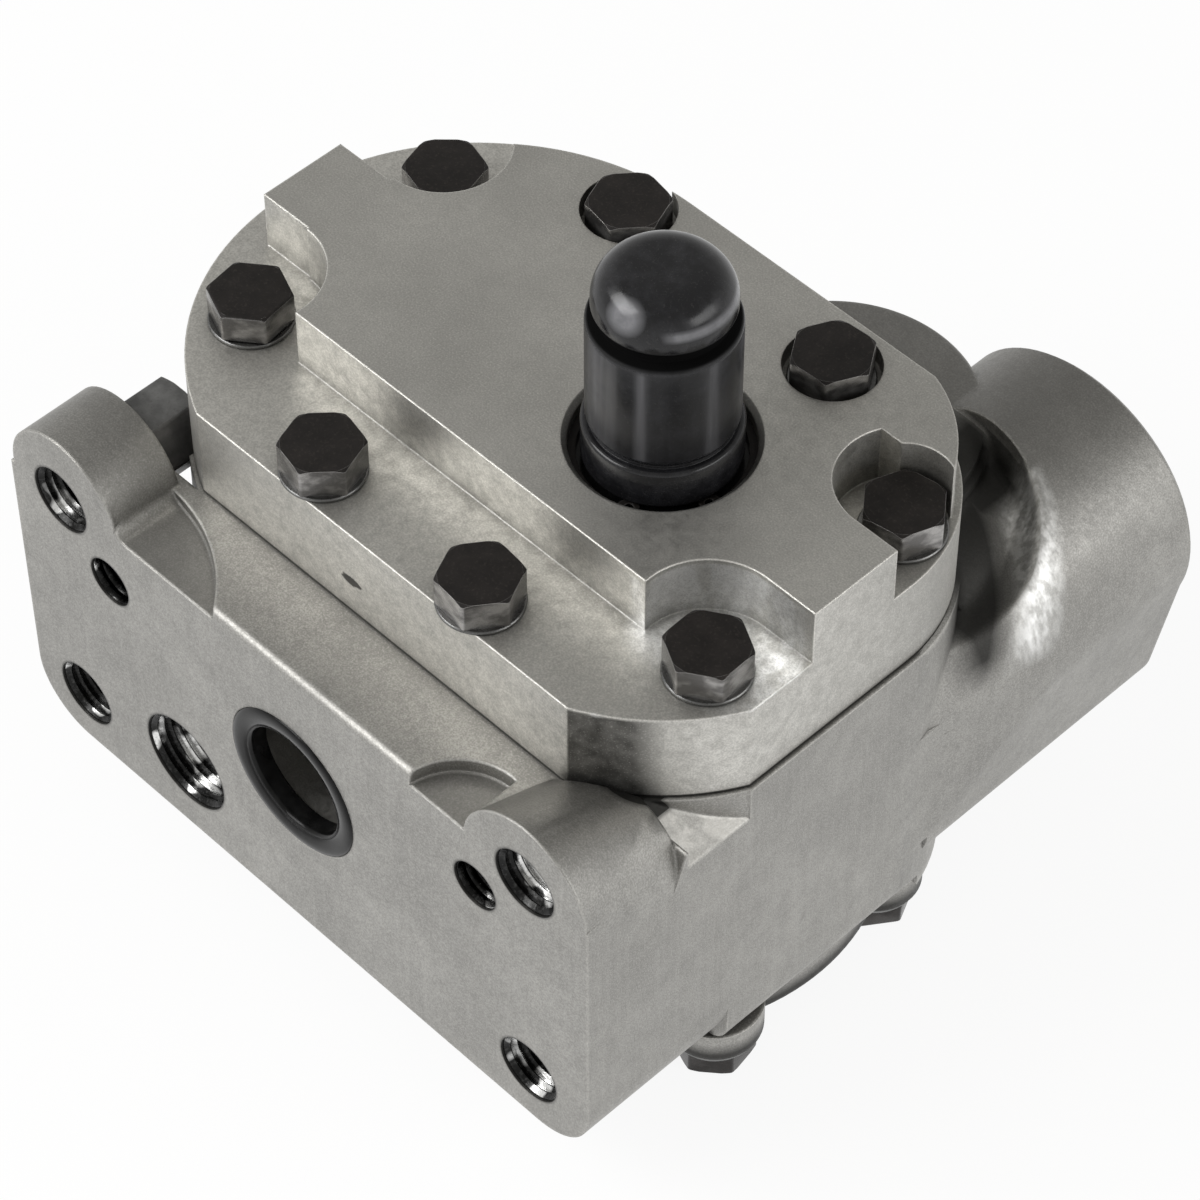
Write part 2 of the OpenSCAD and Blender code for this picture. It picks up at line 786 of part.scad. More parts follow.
module land_outline() {
  difference() {
    union() {
      intersection() {
        translate([land_end_x, land_back_y - land_end_r])
          circle(r = land_end_r);
        translate([-wide, land_front_y])
          square([wide + land_end_x + eps, land_back_y - land_front_y]);
      }
      translate([land_end_x, land_front_y])
        square([cover_right_x - land_end_x, land_back_y - land_front_y]);
      translate([lug_left_x, lug_front_y])
        square([20, lug_back_y - lug_front_y]);
    }
    // pocket round the left ledge bolt and the ledge beyond it
    translate(left_bolt)
      circle(r = left_pocket_r);
    translate([-wide, -wide])
      square([wide + left_bolt[0], wide + lug_front_y]);
    // pocket round the front corner bolt, open to the right
    translate(corner_bolt)
      circle(r = corner_pocket_r);
    translate([corner_bolt[0], corner_bolt[1] - corner_pocket_r])
      square([40, 2 * corner_pocket_r]);
    // pocket round the side bolt, open to the right
    intersection() {
      union() {
        translate(side_bolt)
          circle(r = side_pocket_r);
        translate([side_bolt[0], side_bolt[1] - side_pocket_r])
          square([40, side_pocket_r + 2]);
      }
      translate([0, land_front_y])
        square([wide, side_pocket_back - land_front_y]);
    }
    translate(side_bolt)
      circle(r = counterbore_r - 0.2);
    // pocket round the rear left bolt and the ledge beyond it
    translate(rear_left_bolt)
      circle(r = rear_pocket_r);
    translate([-wide, lug_back_y])
      square([wide + rear_left_bolt[0], wide]);
    rear_corner_cut(-(cover_half_y - land_back_y) / 2);
  }
}

module front_cover() {
  color(metal_light)
    difference() {
      union() {
        translate([0, 0, deck_z])
          linear_extrude(height = cover_h - land_h)
            cover_outline(0);
        translate([0, 0, ledge_z - eps])
          linear_extrude(height = land_h + eps)
            land_outline();
      }
      // seal bore with a chamfered rim
      translate([0, 0, -seal_bore_h])
        cylinder(h = seal_bore_h + 1, r = seal_bore_r);
      translate([0, 0, -1])
        cylinder(h = 1 + eps, r1 = seal_bore_r, r2 = seal_bore_r + 1 + eps);
      // retaining ring groove
      translate([0, 0, -seal_top])
        cylinder(h = ring_h, r = ring_out_r);
      // shaft passage
      translate([0, 0, deck_z - 1])
        cylinder(h = cover_h, r = journal_r + 0.5);
      for (b = cover_bolt_list)
        translate([b[0], b[1], deck_z - 1])
          cylinder(h = cover_h + 2, r = bolt_r + bolt_gap);
      for (b = cover_bolt_list)
        translate([b[0], b[1], b[2]])
          cylinder(h = cover_h, r = (b[2] > ledge_seat) ? counterbore_r : washer_r + 0.2);
      for (p = pin_list)
        translate([p[0], p[1], deck_z - 1])
          cylinder(h = 1 + pin_len / 2, r = pin_r);
      relief_for_plug();
    }
}

module rear_outline() {
  translate([-2.2, -1])
    circle(r = rear_right_r);
  intersection() {
    translate([-cover_end_x, 0])
      circle(r = rear_left_r);
    translate([-wide, -cover_half_y + 1])
      square([wide - cover_end_x + 2, 2 * cover_half_y - 2]);
  }
  translate([-cover_end_x, -cover_half_y + 1])
    square([cover_end_x - 2, 2 * cover_half_y - 2]);
  for (b = rear_bolt_list)
    translate([b[0], b[1]])
      circle(r = ear_r);
}

module rear_cover() {
  color(metal_cast)
    difference() {
      translate([0, 0, rear_z])
        linear_extrude(height = rear_h)
          rear_outline();
      for (b = rear_bolt_list)
        translate([b[0], b[1], rear_z - 1])
          cylinder(h = rear_h + 2, r = bolt_r + bolt_gap);
    }
}

// Fasteners

module cover_bolts() {
  color(metal_black)
    for (b = cover_bolt_list) {
      translate([b[0], b[1], b[2] + washer_h])
        rotate([0, 0, b[3]])
          hex_head(head_r, head_h);
      translate([b[0], b[1], thread_end_z + 0.5])
        cylinder(h = b[2] + washer_h - thread_end_z - 0.5 + eps, r = bolt_r);
    }
}

module cover_washers() {
  color(metal_black)
    for (b = cover_bolt_list)
      translate([b[0], b[1], b[2]])
        washer(washer_h);
}

module washer(h) {
  difference() {
    cylinder(h = h, r = washer_r);
    translate([0, 0, -1])
      cylinder(h = h + 2, r = bolt_r + 0.2);
  }
}

module rear_bolts() {
  color(metal_black)
    for (b = rear_bolt_list) {
      translate([b[0], b[1], rear_z - rear_washer_h])
        rotate([180, 0, b[2]])
          hex_head(head_r, head_h);
      translate([b[0], b[1], rear_z - rear_washer_h - eps])
        cylinder(h = rear_h + rear_washer_h + thread_depth - 0.5, r = bolt_r);
    }
}

module rear_washers() {
  color(metal_steel)
    for (b = rear_bolt_list)
      translate([b[0], b[1], rear_z - rear_washer_h])
        washer(rear_washer_h);
}

module dowel_pins() {
  color(metal_steel)
    for (p = pin_list)
      translate([p[0], p[1], deck_z - pin_len / 2])
        cylinder(h = pin_len, r = pin_r);
}

module hole_plug() {
  color(metal_steel) {
    translate([hole_left_x, left_lobe_back, hole_top_z])
      rotate([-90, 30, 0])
        hex_head(plug_head_r, plug_head_h);
    y_bar(hole_left_x, hole_top_z, plug_shank_r, left_lobe_back - plug_shank_h,
      left_lobe_back + 0.5);
  }
}

// Bearings and seals

module bearing_block(z_low, seal_z) {
  difference() {
    translate([0, 0, z_low])
      linear_extrude(height = block_h)
        twin_circles(block_r);
    for (x = [0, driven_x]) {
      translate([x, 0, z_low - 1])
        cylinder(h = block_h + 2, r = bush_r);
      translate([x, 0, seal_z])
        linear_extrude(height = block_seal_h)
          ring_profile(block_seal_in_r, block_seal_out_r);
    }
  }
}

module ring_profile(r_in, r_out) {
  difference() {
    circle(r = r_out);
    circle(r = r_in);
  }
}

module front_bearing_block() {
  color(metal_light)
    bearing_block(deck_z - block_h, deck_z - block_seal_h);
}

module rear_bearing_block() {
  color(metal_light)
    bearing_block(floor_z, floor_z);
}

module bush_pair(z_low) {
  for (x = [0, driven_x])
    translate([x, 0, z_low])
      linear_extrude(height = block_h)
        ring_profile(journal_r + journal_gap, bush_r);
}

module front_bushes() {
  color(metal_bronze)
    bush_pair(deck_z - block_h);
}

module rear_bushes() {
  color(metal_bronze)
    bush_pair(floor_z);
}

module block_seal_pair(z_low) {
  for (x = [0, driven_x])
    translate([x, 0, z_low])
      linear_extrude(height = block_seal_h)
        ring_profile(block_seal_in_r, block_seal_out_r);
}

module front_block_seals() {
  color(rubber_black)
    block_seal_pair(deck_z - block_seal_h);
}

module rear_block_seals() {
  color(rubber_black)
    block_seal_pair(floor_z);
}

module cover_seal() {
  color(rubber_black)
    seal_groove(deck_z - case_seal_h);
}

module rear_seal() {
  color(rubber_black)
    seal_groove(floor_z);
}

module shaft_seal() {
  color(rubber_black)
    translate([0, 0, -seal_bore_h])
      rotate_extrude()
        difference() {
          translate([journal_r + journal_gap, 0])
            square([seal_bore_r - journal_r - journal_gap, seal_bore_h - seal_top]);
          // hollow between the lip and the case
          translate([journal_r + 1.6, -1])
            square([2.2, 4.4]);
          // step behind the dust lip
          translate([journal_r - 1, 3.4])
            square([1.5, 1.6]);
        }
}

module retaining_ring() {
  color(metal_black)
    translate([0, 0, -seal_top])
      linear_extrude(height = ring_h)
        difference() {
          union() {
            ring_profile(ring_in_r, ring_out_r);
            for (a = [28, -28])
              rotate([0, 0, a - 40])
                translate([ring_in_r, 0])
                  circle(r = 1.9);
          }
          // opening of the ring
          rotate([0, 0, -40])
            polygon([[0, 0], [30, 11.5], [30, -11.5]]);
          // tool holes
          for (a = [28, -28])
            rotate([0, 0, a - 40])
              translate([ring_in_r - 0.2, 0])
                circle(r = 0.8);
        }
}

module outlet_ring() {
  color(rubber_black)
    translate([pattern_x, flange_y + groove_depth - outlet_ring_r, pattern_z])
      rotate([90, 0, 0])
        rotate_extrude()
          translate([outlet_groove_r - outlet_ring_r, 0])
            circle(r = outlet_ring_r - 0.01);
}

// Rotating parts

module toothed_disc(turn) {
  translate([0, 0, gear_low_z])
    linear_extrude(height = gear_width)
      rotate([0, 0, turn])
        polygon(gear_points());
}

module splined_end() {
  intersection() {
    translate([0, 0, shoulder_z - 1])
      linear_extrude(height = spline_tip_z - shoulder_z + 1)
        polygon(spline_points());
    translate([0, 0, shoulder_z - 2])
      union() {
        cylinder(h = spline_tip_z - shoulder_z + 0.5, r = spline_r + 1);
        translate([0, 0, spline_tip_z - shoulder_z + 0.4])
          cylinder(h = 1.6, r1 = spline_r + 0.4, r2 = spline_r - 1.2);
      }
  }
}

module drive_gear() {
  color(metal_steel)
    union() {
      toothed_disc(0);
      translate([0, 0, floor_z + 1])
        cylinder(h = shoulder_z - floor_z - 1, r = journal_r);
      splined_end();
    }
}

module driven_gear() {
  color(metal_steel)
    translate([driven_x, 0, 0])
      union() {
        toothed_disc(180 / tooth_count);
        translate([0, 0, floor_z + 1])
          cylinder(h = housing_h - 2, r = journal_r);
      }
}

module cap_profile() {
  difference() {
    union() {
      // foot ring
      translate([0, shoulder_z])
        square([cap_foot_r, 5 - shoulder_z]);
      // groove above the foot
      translate([0, 4])
        square([cap_body_r - 0.7, 4]);
      // body
      translate([0, 6.2])
        square([cap_body_r, cap_shoulder_z - 6.2]);
      // shoulder
      polygon([
        [0, cap_shoulder_z - 1],
        [cap_body_r, cap_shoulder_z],
        [cap_dome_r + 0.3, cap_shoulder_z + 1.3],
        [0, cap_shoulder_z + 1.4]
      ]);
      // neck under the dome
      square([cap_dome_r - 0.5, cap_top_z - cap_dome_round]);
      // dome
      translate([0, cap_shoulder_z + 2])
        square([cap_dome_r, cap_top_z - cap_dome_round - cap_shoulder_z - 2]);
      square([cap_dome_r - cap_dome_round, cap_top_z]);
      translate([cap_dome_r - cap_dome_round, cap_top_z - cap_dome_round])
        circle(r = cap_dome_round);
    }
    translate([-20, shoulder_z - 5])
      square([20, 60]);
    // hollow for the splined end
    translate([0, shoulder_z - 1])
      square([cap_in_r, spline_tip_z + 1.5 - shoulder_z + 1]);
    // mould dimple in the top
    translate([0, cap_top_z - 0.4])
      square([2, 1]);
  }
}

module shaft_cap() {
  color(plastic_black)
    rotate_extrude()
      cap_profile();
}

main_housing();
front_cover();
rear_cover();
cover_bolts();
cover_washers();
rear_bolts();
rear_washers();
front_bearing_block();
rear_bearing_block();
front_bushes();
rear_bushes();
front_block_seals();
rear_block_seals();
cover_seal();
rear_seal();
shaft_seal();
retaining_ring();
dowel_pins();
outlet_ring();
hole_plug();
drive_gear();
driven_gear();
shaft_cap();
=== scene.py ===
"""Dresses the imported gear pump: finishes for castings, covers, fasteners, seals and cap, and a plain studio."""

import json
import math

import bpy
from bpy.props import FloatProperty, FloatVectorProperty, PointerProperty
from mathutils import Matrix, Vector

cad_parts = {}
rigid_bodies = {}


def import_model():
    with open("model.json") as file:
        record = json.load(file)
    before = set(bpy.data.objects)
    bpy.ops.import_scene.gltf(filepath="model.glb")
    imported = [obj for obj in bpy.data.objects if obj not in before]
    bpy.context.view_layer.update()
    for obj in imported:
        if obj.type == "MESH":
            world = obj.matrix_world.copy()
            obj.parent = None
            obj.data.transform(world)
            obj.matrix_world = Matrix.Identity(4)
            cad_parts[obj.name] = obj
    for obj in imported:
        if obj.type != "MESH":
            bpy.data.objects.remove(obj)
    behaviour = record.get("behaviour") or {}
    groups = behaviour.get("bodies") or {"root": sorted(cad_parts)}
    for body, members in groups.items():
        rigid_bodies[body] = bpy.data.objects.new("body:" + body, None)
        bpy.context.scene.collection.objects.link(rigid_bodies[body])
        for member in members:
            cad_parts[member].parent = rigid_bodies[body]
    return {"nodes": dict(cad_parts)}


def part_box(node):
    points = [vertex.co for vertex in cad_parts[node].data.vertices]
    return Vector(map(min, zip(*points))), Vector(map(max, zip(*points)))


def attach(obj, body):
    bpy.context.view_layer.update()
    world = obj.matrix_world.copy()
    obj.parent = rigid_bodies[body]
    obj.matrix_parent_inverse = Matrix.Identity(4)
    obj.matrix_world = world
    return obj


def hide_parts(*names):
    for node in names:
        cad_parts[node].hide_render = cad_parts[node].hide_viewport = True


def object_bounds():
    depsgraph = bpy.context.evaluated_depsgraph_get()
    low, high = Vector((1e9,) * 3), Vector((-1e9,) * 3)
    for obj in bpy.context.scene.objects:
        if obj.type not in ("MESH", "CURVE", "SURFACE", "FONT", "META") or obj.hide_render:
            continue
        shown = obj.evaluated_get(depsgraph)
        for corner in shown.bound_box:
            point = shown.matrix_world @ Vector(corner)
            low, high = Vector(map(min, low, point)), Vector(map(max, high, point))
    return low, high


bl_info = {
    "name": "Gear pump dressing",
    "version": (1, 0, 0),
    "blender": (4, 5, 0),
    "location": "View3D > Sidebar > Gear Pump",
    "description": "Models the pump's bolts, washers, cap and port details and gives every part its finish",
    "category": "Object",
}

for leftover in list(bpy.data.objects):
    bpy.data.objects.remove(leftover)
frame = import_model()
CAD_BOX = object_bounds()
NODES = frame["nodes"]

# Places of the cover bolts: x, y, seat height, turn in degrees
COVER_BOLTS = (
    (-0.0741, -0.0223, -0.0117, 8),
    (-0.0406, -0.0366, -0.0117, 18),
    (-0.0027, -0.0376, -0.0117, 24),
    (0.0324, -0.0223, -0.0117, 2),
    (0.0337, 0.0206, -0.0117, 40),
    (0.0081, 0.0306, -0.0035, 34),
    (-0.0402, 0.0322, -0.0046, 20),
    (-0.0730, 0.0209, -0.0117, 15),
)
# Places of the rear bolts: x, y, turn in degrees
REAR_BOLTS = (
    (0.0348, -0.0208, 10),
    (0.0324, 0.0214, 25),
    (-0.0010, -0.0360, 5),
    (-0.0400, -0.0360, 15),
    (-0.0736, -0.0214, 40),
    (-0.0736, 0.0214, 20),
    (-0.0400, 0.0354, 30),
    (-0.0010, 0.0354, 12),
)
# Middle of the flange's hole pattern: x, z, and how far its corner holes lie from it
PATTERN = (-0.0264, -0.0601)
CORNER = (0.0560, 0.0255)
# Bores in the flange face: x, z, radius, thread depth
THREADED = (
    (-0.0824, -0.0346, 0.0065, 0.0120),
    (-0.0824, -0.0856, 0.0065, 0.0180),
    (0.0296, -0.0346, 0.0065, 0.0120),
    (0.0296, -0.0856, 0.0065, 0.0180),
    (-0.0712, -0.0463, 0.00475, 0.0100),
    (0.0180, -0.0463, 0.00475, 0.0100),
    (-0.0554, -0.0808, 0.0098, 0.0150),
)
REAR_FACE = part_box("rear_cover")[0].z
FLANGE_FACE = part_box("main_housing")[0].y
# Right lobe of the flange and suction bore: x, z and radius
LOBE_X, LOBE_Z, LOBE_RADIUS = 0.0296, -0.0346, 0.0140
SUCTION_X, SUCTION_Z, SUCTION_RADIUS = 0.0220, -0.0550, 0.0170
# Fasteners: shank, washer bore, how far a shank reaches into its head, rounding on small pieces
SHANK_RADIUS, WASHER_BORE, SHANK_OVERLAP, SMALL_ROUND = 0.00395, 0.0042, 0.0002, 0.0002
# Camera: place, and the directions of its right and back
CAMERA_PLACE = (0.33872, -0.34642, 0.52766)
CAMERA_RIGHT = (0.70049, 0.71366, 0.00001)
CAMERA_BACK = (0.46313, -0.45457, 0.76084)


# Sizes and colours that a user would change

class PumpSizes(bpy.types.PropertyGroup):
    """Sizes of the modelled pieces"""

    head_radius: FloatProperty(
        name="Head radius", description="Radius to the corners of a hexagon head",
        default=0.0075, min=0.005, max=0.0078, unit="LENGTH")
    head_height: FloatProperty(
        name="Head height", description="Height of a hexagon head on the rear cover",
        default=0.0053, min=0.003, max=0.0053, unit="LENGTH")
    front_head_height: FloatProperty(
        name="Front head height", description="Height of a hexagon head on the front cover",
        default=0.0058, min=0.003, max=0.0058, unit="LENGTH")
    washer_radius: FloatProperty(
        name="Washer radius", description="Outer radius of a washer",
        default=0.0079, min=0.006, max=0.0079, unit="LENGTH")
    front_washer_radius: FloatProperty(
        name="Front washer radius", description="Outer radius of a washer on the front cover",
        default=0.0074, min=0.006, max=0.0079, unit="LENGTH")
    washer_height: FloatProperty(
        name="Washer height", description="Thickness of a cover washer",
        default=0.0007, min=0.0004, max=0.0012, unit="LENGTH")
    lobe_fall: FloatProperty(
        name="Lobe fall", description="Angle by which the right lobe falls to the back",
        default=math.radians(21.0), min=0.0, max=math.radians(30.0), subtype="ANGLE")
    thread_pitch: FloatProperty(
        name="Thread pitch", description="Pitch of the threads in the flange",
        default=0.0015, min=0.0008, max=0.003, unit="LENGTH")
    thread_depth: FloatProperty(
        name="Thread depth", description="Depth of the thread's flanks",
        default=0.0008, min=0.0002, max=0.0012, unit="LENGTH")
    rear_washer_height: FloatProperty(
        name="Rear washer height", description="Thickness of a rear washer",
        default=0.0016, min=0.0006, max=0.0016, unit="LENGTH")
    edge_round: FloatProperty(
        name="Edge round", description="Rounding that finishes show along machined edges",
        default=0.0005, min=0.0, max=0.002, unit="LENGTH")
    cast_round: FloatProperty(
        name="Cast round", description="Rounding that finishes show along cast edges",
        default=0.0009, min=0.0, max=0.003, unit="LENGTH")


class PumpColours(bpy.types.PropertyGroup):
    """Colours of the finishes"""

    cast: FloatVectorProperty(
        name="Cast aluminium", description="Colour of the blasted casting",
        subtype="COLOR", size=3, min=0.0, max=1.0, default=(0.395, 0.387, 0.366))
    milled: FloatVectorProperty(
        name="Milled aluminium", description="Colour of the milled covers",
        subtype="COLOR", size=3, min=0.0, max=1.0, default=(0.52, 0.51, 0.48))
    steel: FloatVectorProperty(
        name="Steel", description="Colour of turned and ground steel",
        subtype="COLOR", size=3, min=0.0, max=1.0, default=(0.36, 0.36, 0.355))
    blackened: FloatVectorProperty(
        name="Blackened steel", description="Colour of the black oxide on bolts and washers",
        subtype="COLOR", size=3, min=0.0, max=1.0, default=(0.012, 0.010, 0.009))
    bronze: FloatVectorProperty(
        name="Bronze", description="Colour of the bearing bushes",
        subtype="COLOR", size=3, min=0.0, max=1.0, default=(0.50, 0.30, 0.13))
    rubber: FloatVectorProperty(
        name="Rubber", description="Colour of the seals",
        subtype="COLOR", size=3, min=0.0, max=1.0, default=(0.012, 0.012, 0.012))
    plastic: FloatVectorProperty(
        name="Cap plastic", description="Colour of the shaft's protective cap",
        subtype="COLOR", size=3, min=0.0, max=1.0, default=(0.008, 0.008, 0.009))


class PumpStudio(bpy.types.PropertyGroup):
    """Studio light and camera"""

    key_power: FloatProperty(
        name="Key power", description="Power of the large soft lamp",
        default=10.0, min=0.0, max=200.0, unit="POWER")
    lens: FloatProperty(
        name="Lens", description="Focal length of the camera in millimetres",
        default=135.12, min=20.0, max=300.0, unit="CAMERA")


# Bench work: small steps shared by all pieces

def clear_bench():
    """Leaves edit mode and lets go of every object."""
    if bpy.context.object and bpy.context.object.mode != "OBJECT":
        bpy.ops.object.mode_set(mode="OBJECT")
    for thing in bpy.context.view_layer.objects:
        thing.select_set(False)


def take(piece):
    """Makes one piece the active and only selected object."""
    clear_bench()
    piece.select_set(True)
    bpy.context.view_layer.objects.active = piece


def new_piece(name):
    """Names the primitive that was just added."""
    piece = bpy.context.object
    piece.name = name
    piece.data.name = name
    return piece


def settle(name):
    """Names the primitive that was just added and applies its place to its mesh."""
    piece = new_piece(name)
    take(piece)
    bpy.ops.object.transform_apply(location=True, rotation=True, scale=True)
    return piece


def unmark(piece):
    """Takes a piece and clears the selection of its points, edges and faces."""
    take(piece)
    for parts in (piece.data.vertices, piece.data.edges, piece.data.polygons):
        parts.foreach_set("select", [False] * len(parts))
    return piece.data


def pick_faces(piece, wanted):
    """Opens the piece in edit mode with only the faces selected that the test wants."""
    for face in unmark(piece).polygons:
        face.select = wanted(face.center, face.normal)
    bpy.ops.object.mode_set(mode="EDIT")
    bpy.ops.mesh.select_mode(type="FACE")


def pick_edges(piece, wanted):
    """Opens the piece in edit mode with only the edges selected whose two ends the test wants."""
    mesh = unmark(piece)
    for edge in mesh.edges:
        ends = [mesh.vertices[index] for index in edge.vertices]
        if wanted(ends[0].co, ends[1].co):
            edge.select = ends[0].select = ends[1].select = True
    bpy.ops.object.mode_set(mode="EDIT")
    bpy.ops.mesh.select_mode(type="EDGE")


def close_edit():
    """Leaves edit mode."""
    bpy.ops.object.mode_set(mode="OBJECT")


def use_modifier(piece, kind, **settings):
    """Adds one modifier, sets it and applies it."""
    take(piece)
    modifier = piece.modifiers.new(kind.title(), kind)
    for name, value in settings.items():
        setattr(modifier, name, value)
    bpy.ops.object.modifier_apply(modifier=modifier.name)


def smooth(piece, degrees):
    """Shades a piece smooth, with sharp edges past an angle in degrees."""
    take(piece)
    bpy.ops.object.shade_smooth_by_angle(angle=math.radians(degrees))


def turn_profile(name, points, steps=96):
    """Turns a profile of (radius, height) points round the Z axis, as on a lathe."""
    clear_bench()
    bpy.ops.mesh.primitive_plane_add(size=0.001, location=(0, 0, 0))
    piece = new_piece(name)
    bpy.ops.object.mode_set(mode="EDIT")
    bpy.ops.mesh.select_mode(type="VERT")
    bpy.ops.mesh.select_all(action="SELECT")
    bpy.ops.mesh.merge(type="CENTER")
    here = Vector((points[0][0], 0, points[0][1]))
    bpy.ops.transform.translate(value=here)
    for radius, height in points[1:]:
        there = Vector((radius, 0, height))
        bpy.ops.mesh.extrude_vertices_move(TRANSFORM_OT_translate={"value": there - here})
        here = there
    bpy.ops.mesh.select_all(action="SELECT")
    bpy.ops.mesh.spin(steps=steps, angle=2 * math.pi, center=(0, 0, 0), axis=(0, 0, 1))
    bpy.ops.mesh.select_all(action="SELECT")
    bpy.ops.mesh.remove_doubles(threshold=0.000002)
    bpy.ops.mesh.normals_make_consistent(inside=False)
    close_edit()
    smooth(piece, 35.0)
    return piece


def arc(cx, cz, radius, start, end, steps):
    """Points of an arc for a profile, by angles in degrees."""
    points = []
    for step in range(steps + 1):
        angle = math.radians(start + (end - start) * step / steps)
        points.append((cx + radius * math.cos(angle), cz + radius * math.sin(angle)))
    return points


def copy_piece(piece, name, place):
    """Copies a piece with its own mesh, moved by a matrix."""
    twin = piece.copy()
    twin.data = piece.data.copy()
    twin.name = name
    twin.data.name = name
    bpy.context.scene.collection.objects.link(twin)
    twin.data.transform(place)
    return twin


def copies(piece, name, count):
    """A modelled piece and its copies, numbered from 1."""
    return [piece] + [copy_piece(piece, f"{name}_{number}", Matrix()) for number in range(2, count + 1)]


def place_at(x, y, z, turn=0.0, flip=False):
    """Matrix that turns a standing piece by degrees, hangs it if asked, and moves it to its seat."""
    matrix = Matrix.Translation((x, y, z)) @ Matrix.Rotation(math.radians(turn), 4, "Z")
    if flip:
        matrix = matrix @ Matrix.Rotation(math.pi, 4, "X")
    return matrix


def fit(piece, body, material):
    """Gives a piece its material and slot, and lets it ride on its body."""
    piece.data.materials.clear()
    piece.data.materials.append(material)
    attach(piece, body)


def coat_node(name, material):
    """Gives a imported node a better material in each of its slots."""
    for slot in NODES[name].material_slots:
        slot.material = material


# Finishes

class Bench:
    """Builds the node tree of one finish."""

    def __init__(self, name):
        self.material = bpy.data.materials.get(name) or bpy.data.materials.new(name)
        self.material.use_nodes = True
        self.tree = self.material.node_tree
        self.tree.nodes.clear()
        self.out = self.add("ShaderNodeOutputMaterial")
        self.shader = self.add("ShaderNodeBsdfPrincipled")
        self.join(self.shader.outputs[0], self.out.inputs["Surface"])
        self.place = self.add("ShaderNodeTexCoord").outputs["Object"]

    def add(self, kind, **settings):
        made = self.tree.nodes.new(kind)
        for name, value in settings.items():
            setattr(made, name, value)
        made.location = (-220 * (len(self.tree.nodes) % 9), -180 * (len(self.tree.nodes) // 9))
        return made

    def join(self, source, target):
        self.tree.links.new(source, target)

    def feed(self, socket, value):
        if isinstance(value, bpy.types.NodeSocket):
            self.join(value, socket)
        elif isinstance(value, (tuple, list, Vector)) or hasattr(value, "r"):
            values = tuple(value)
            socket.default_value = values + (1.0,) if len(values) == 3 and socket.type == "RGBA" else values
        else:
            socket.default_value = value

    def noise(self, scale, detail=2.0, rough=0.5, stretch=None, turn=None):
        """Noise in the part's own coordinates, per metre; stretch scales each axis."""
        place = self.place
        if stretch or turn:
            mapping = self.add("ShaderNodeMapping")
            self.join(place, mapping.inputs["Vector"])
            if stretch:
                mapping.inputs["Scale"].default_value = stretch
            if turn:
                mapping.inputs["Rotation"].default_value = turn
            place = mapping.outputs[0]
        made = self.add("ShaderNodeTexNoise")
        self.join(place, made.inputs["Vector"])
        made.inputs["Scale"].default_value = scale
        made.inputs["Detail"].default_value = detail
        made.inputs["Roughness"].default_value = rough
        return made.outputs["Fac"]

    def spread(self, value, low, high, to_low=0.0, to_high=1.0):
        made = self.add("ShaderNodeMapRange")
        self.feed(made.inputs[0], value)
        for index, number in enumerate((low, high, to_low, to_high), 1):
            made.inputs[index].default_value = number
        return made.outputs[0]

    def under(self, value, low, high):
        """1 up to low, falling to 0 at high."""
        return self.spread(value, low, high, 1.0, 0.0)

    def within(self, value, low, low_end, high, high_end):
        """1 between low_end and high, falling to 0 at low and at high_end."""
        return self.sum("MULTIPLY", self.spread(value, low, low_end), self.under(value, high, high_end))

    def paint(self, tone, mask, strength, colour):
        """Lays a colour over the tone where a mask holds, by a strength."""
        return self.blend(self.sum("MULTIPLY", mask, strength), tone, colour)

    def speckle(self, tone, grain, dark, bright, dark_strength=0.34):
        """Fine dark and bright specks of the grain."""
        tone = self.blend(self.spread(grain, 0.34, 0.58, dark_strength, 0.0), tone, dark)
        return self.blend(self.spread(grain, 0.58, 0.80, 0.0, 0.34), tone, bright)

    def parts(self):
        """x, y and z of the point in the part's own coordinates."""
        made = self.add("ShaderNodeSeparateXYZ")
        self.join(self.place, made.inputs[0])
        return made.outputs

    def away(self, centre, axes=(1, 1, 1), source=None):
        """Distance from a point or line; axes gives the weight of x, y and z."""
        less = self.add("ShaderNodeVectorMath", operation="SUBTRACT")
        self.join(source or self.place, less.inputs[0])
        less.inputs[1].default_value = centre
        kept = self.add("ShaderNodeVectorMath", operation="MULTIPLY")
        self.join(less.outputs[0], kept.inputs[0])
        kept.inputs[1].default_value = axes
        span = self.add("ShaderNodeVectorMath", operation="LENGTH")
        self.join(kept.outputs[0], span.inputs[0])
        return span.outputs["Value"]

    def all_of(self, *masks):
        """Where every mask holds."""
        found = masks[0]
        for mask in masks[1:]:
            found = self.sum("MULTIPLY", found, mask)
        return found

    def any_of(self, *masks):
        """Where one mask at least holds."""
        found = masks[0]
        for mask in masks[1:]:
            found = self.sum("MAXIMUM", found, mask)
        return found

    def upward(self):
        """How far the surface faces up or down."""
        made = self.add("ShaderNodeSeparateXYZ")
        self.join(self.add("ShaderNodeNewGeometry").outputs["Normal"], made.inputs[0])
        return made.outputs[2]

    def sum(self, kind, *values):
        """One step of arithmetic on sockets or numbers."""
        made = self.add("ShaderNodeMath", operation=kind)
        for socket, value in zip(made.inputs, values):
            self.feed(socket, value)
        return made.outputs[0]

    def blend(self, factor, first, second, kind="MIX"):
        made = self.add("ShaderNodeMix", data_type="RGBA", blend_type=kind)
        self.feed(made.inputs[0], factor)
        self.feed(made.inputs[6], first)
        self.feed(made.inputs[7], second)
        return made.outputs[2]

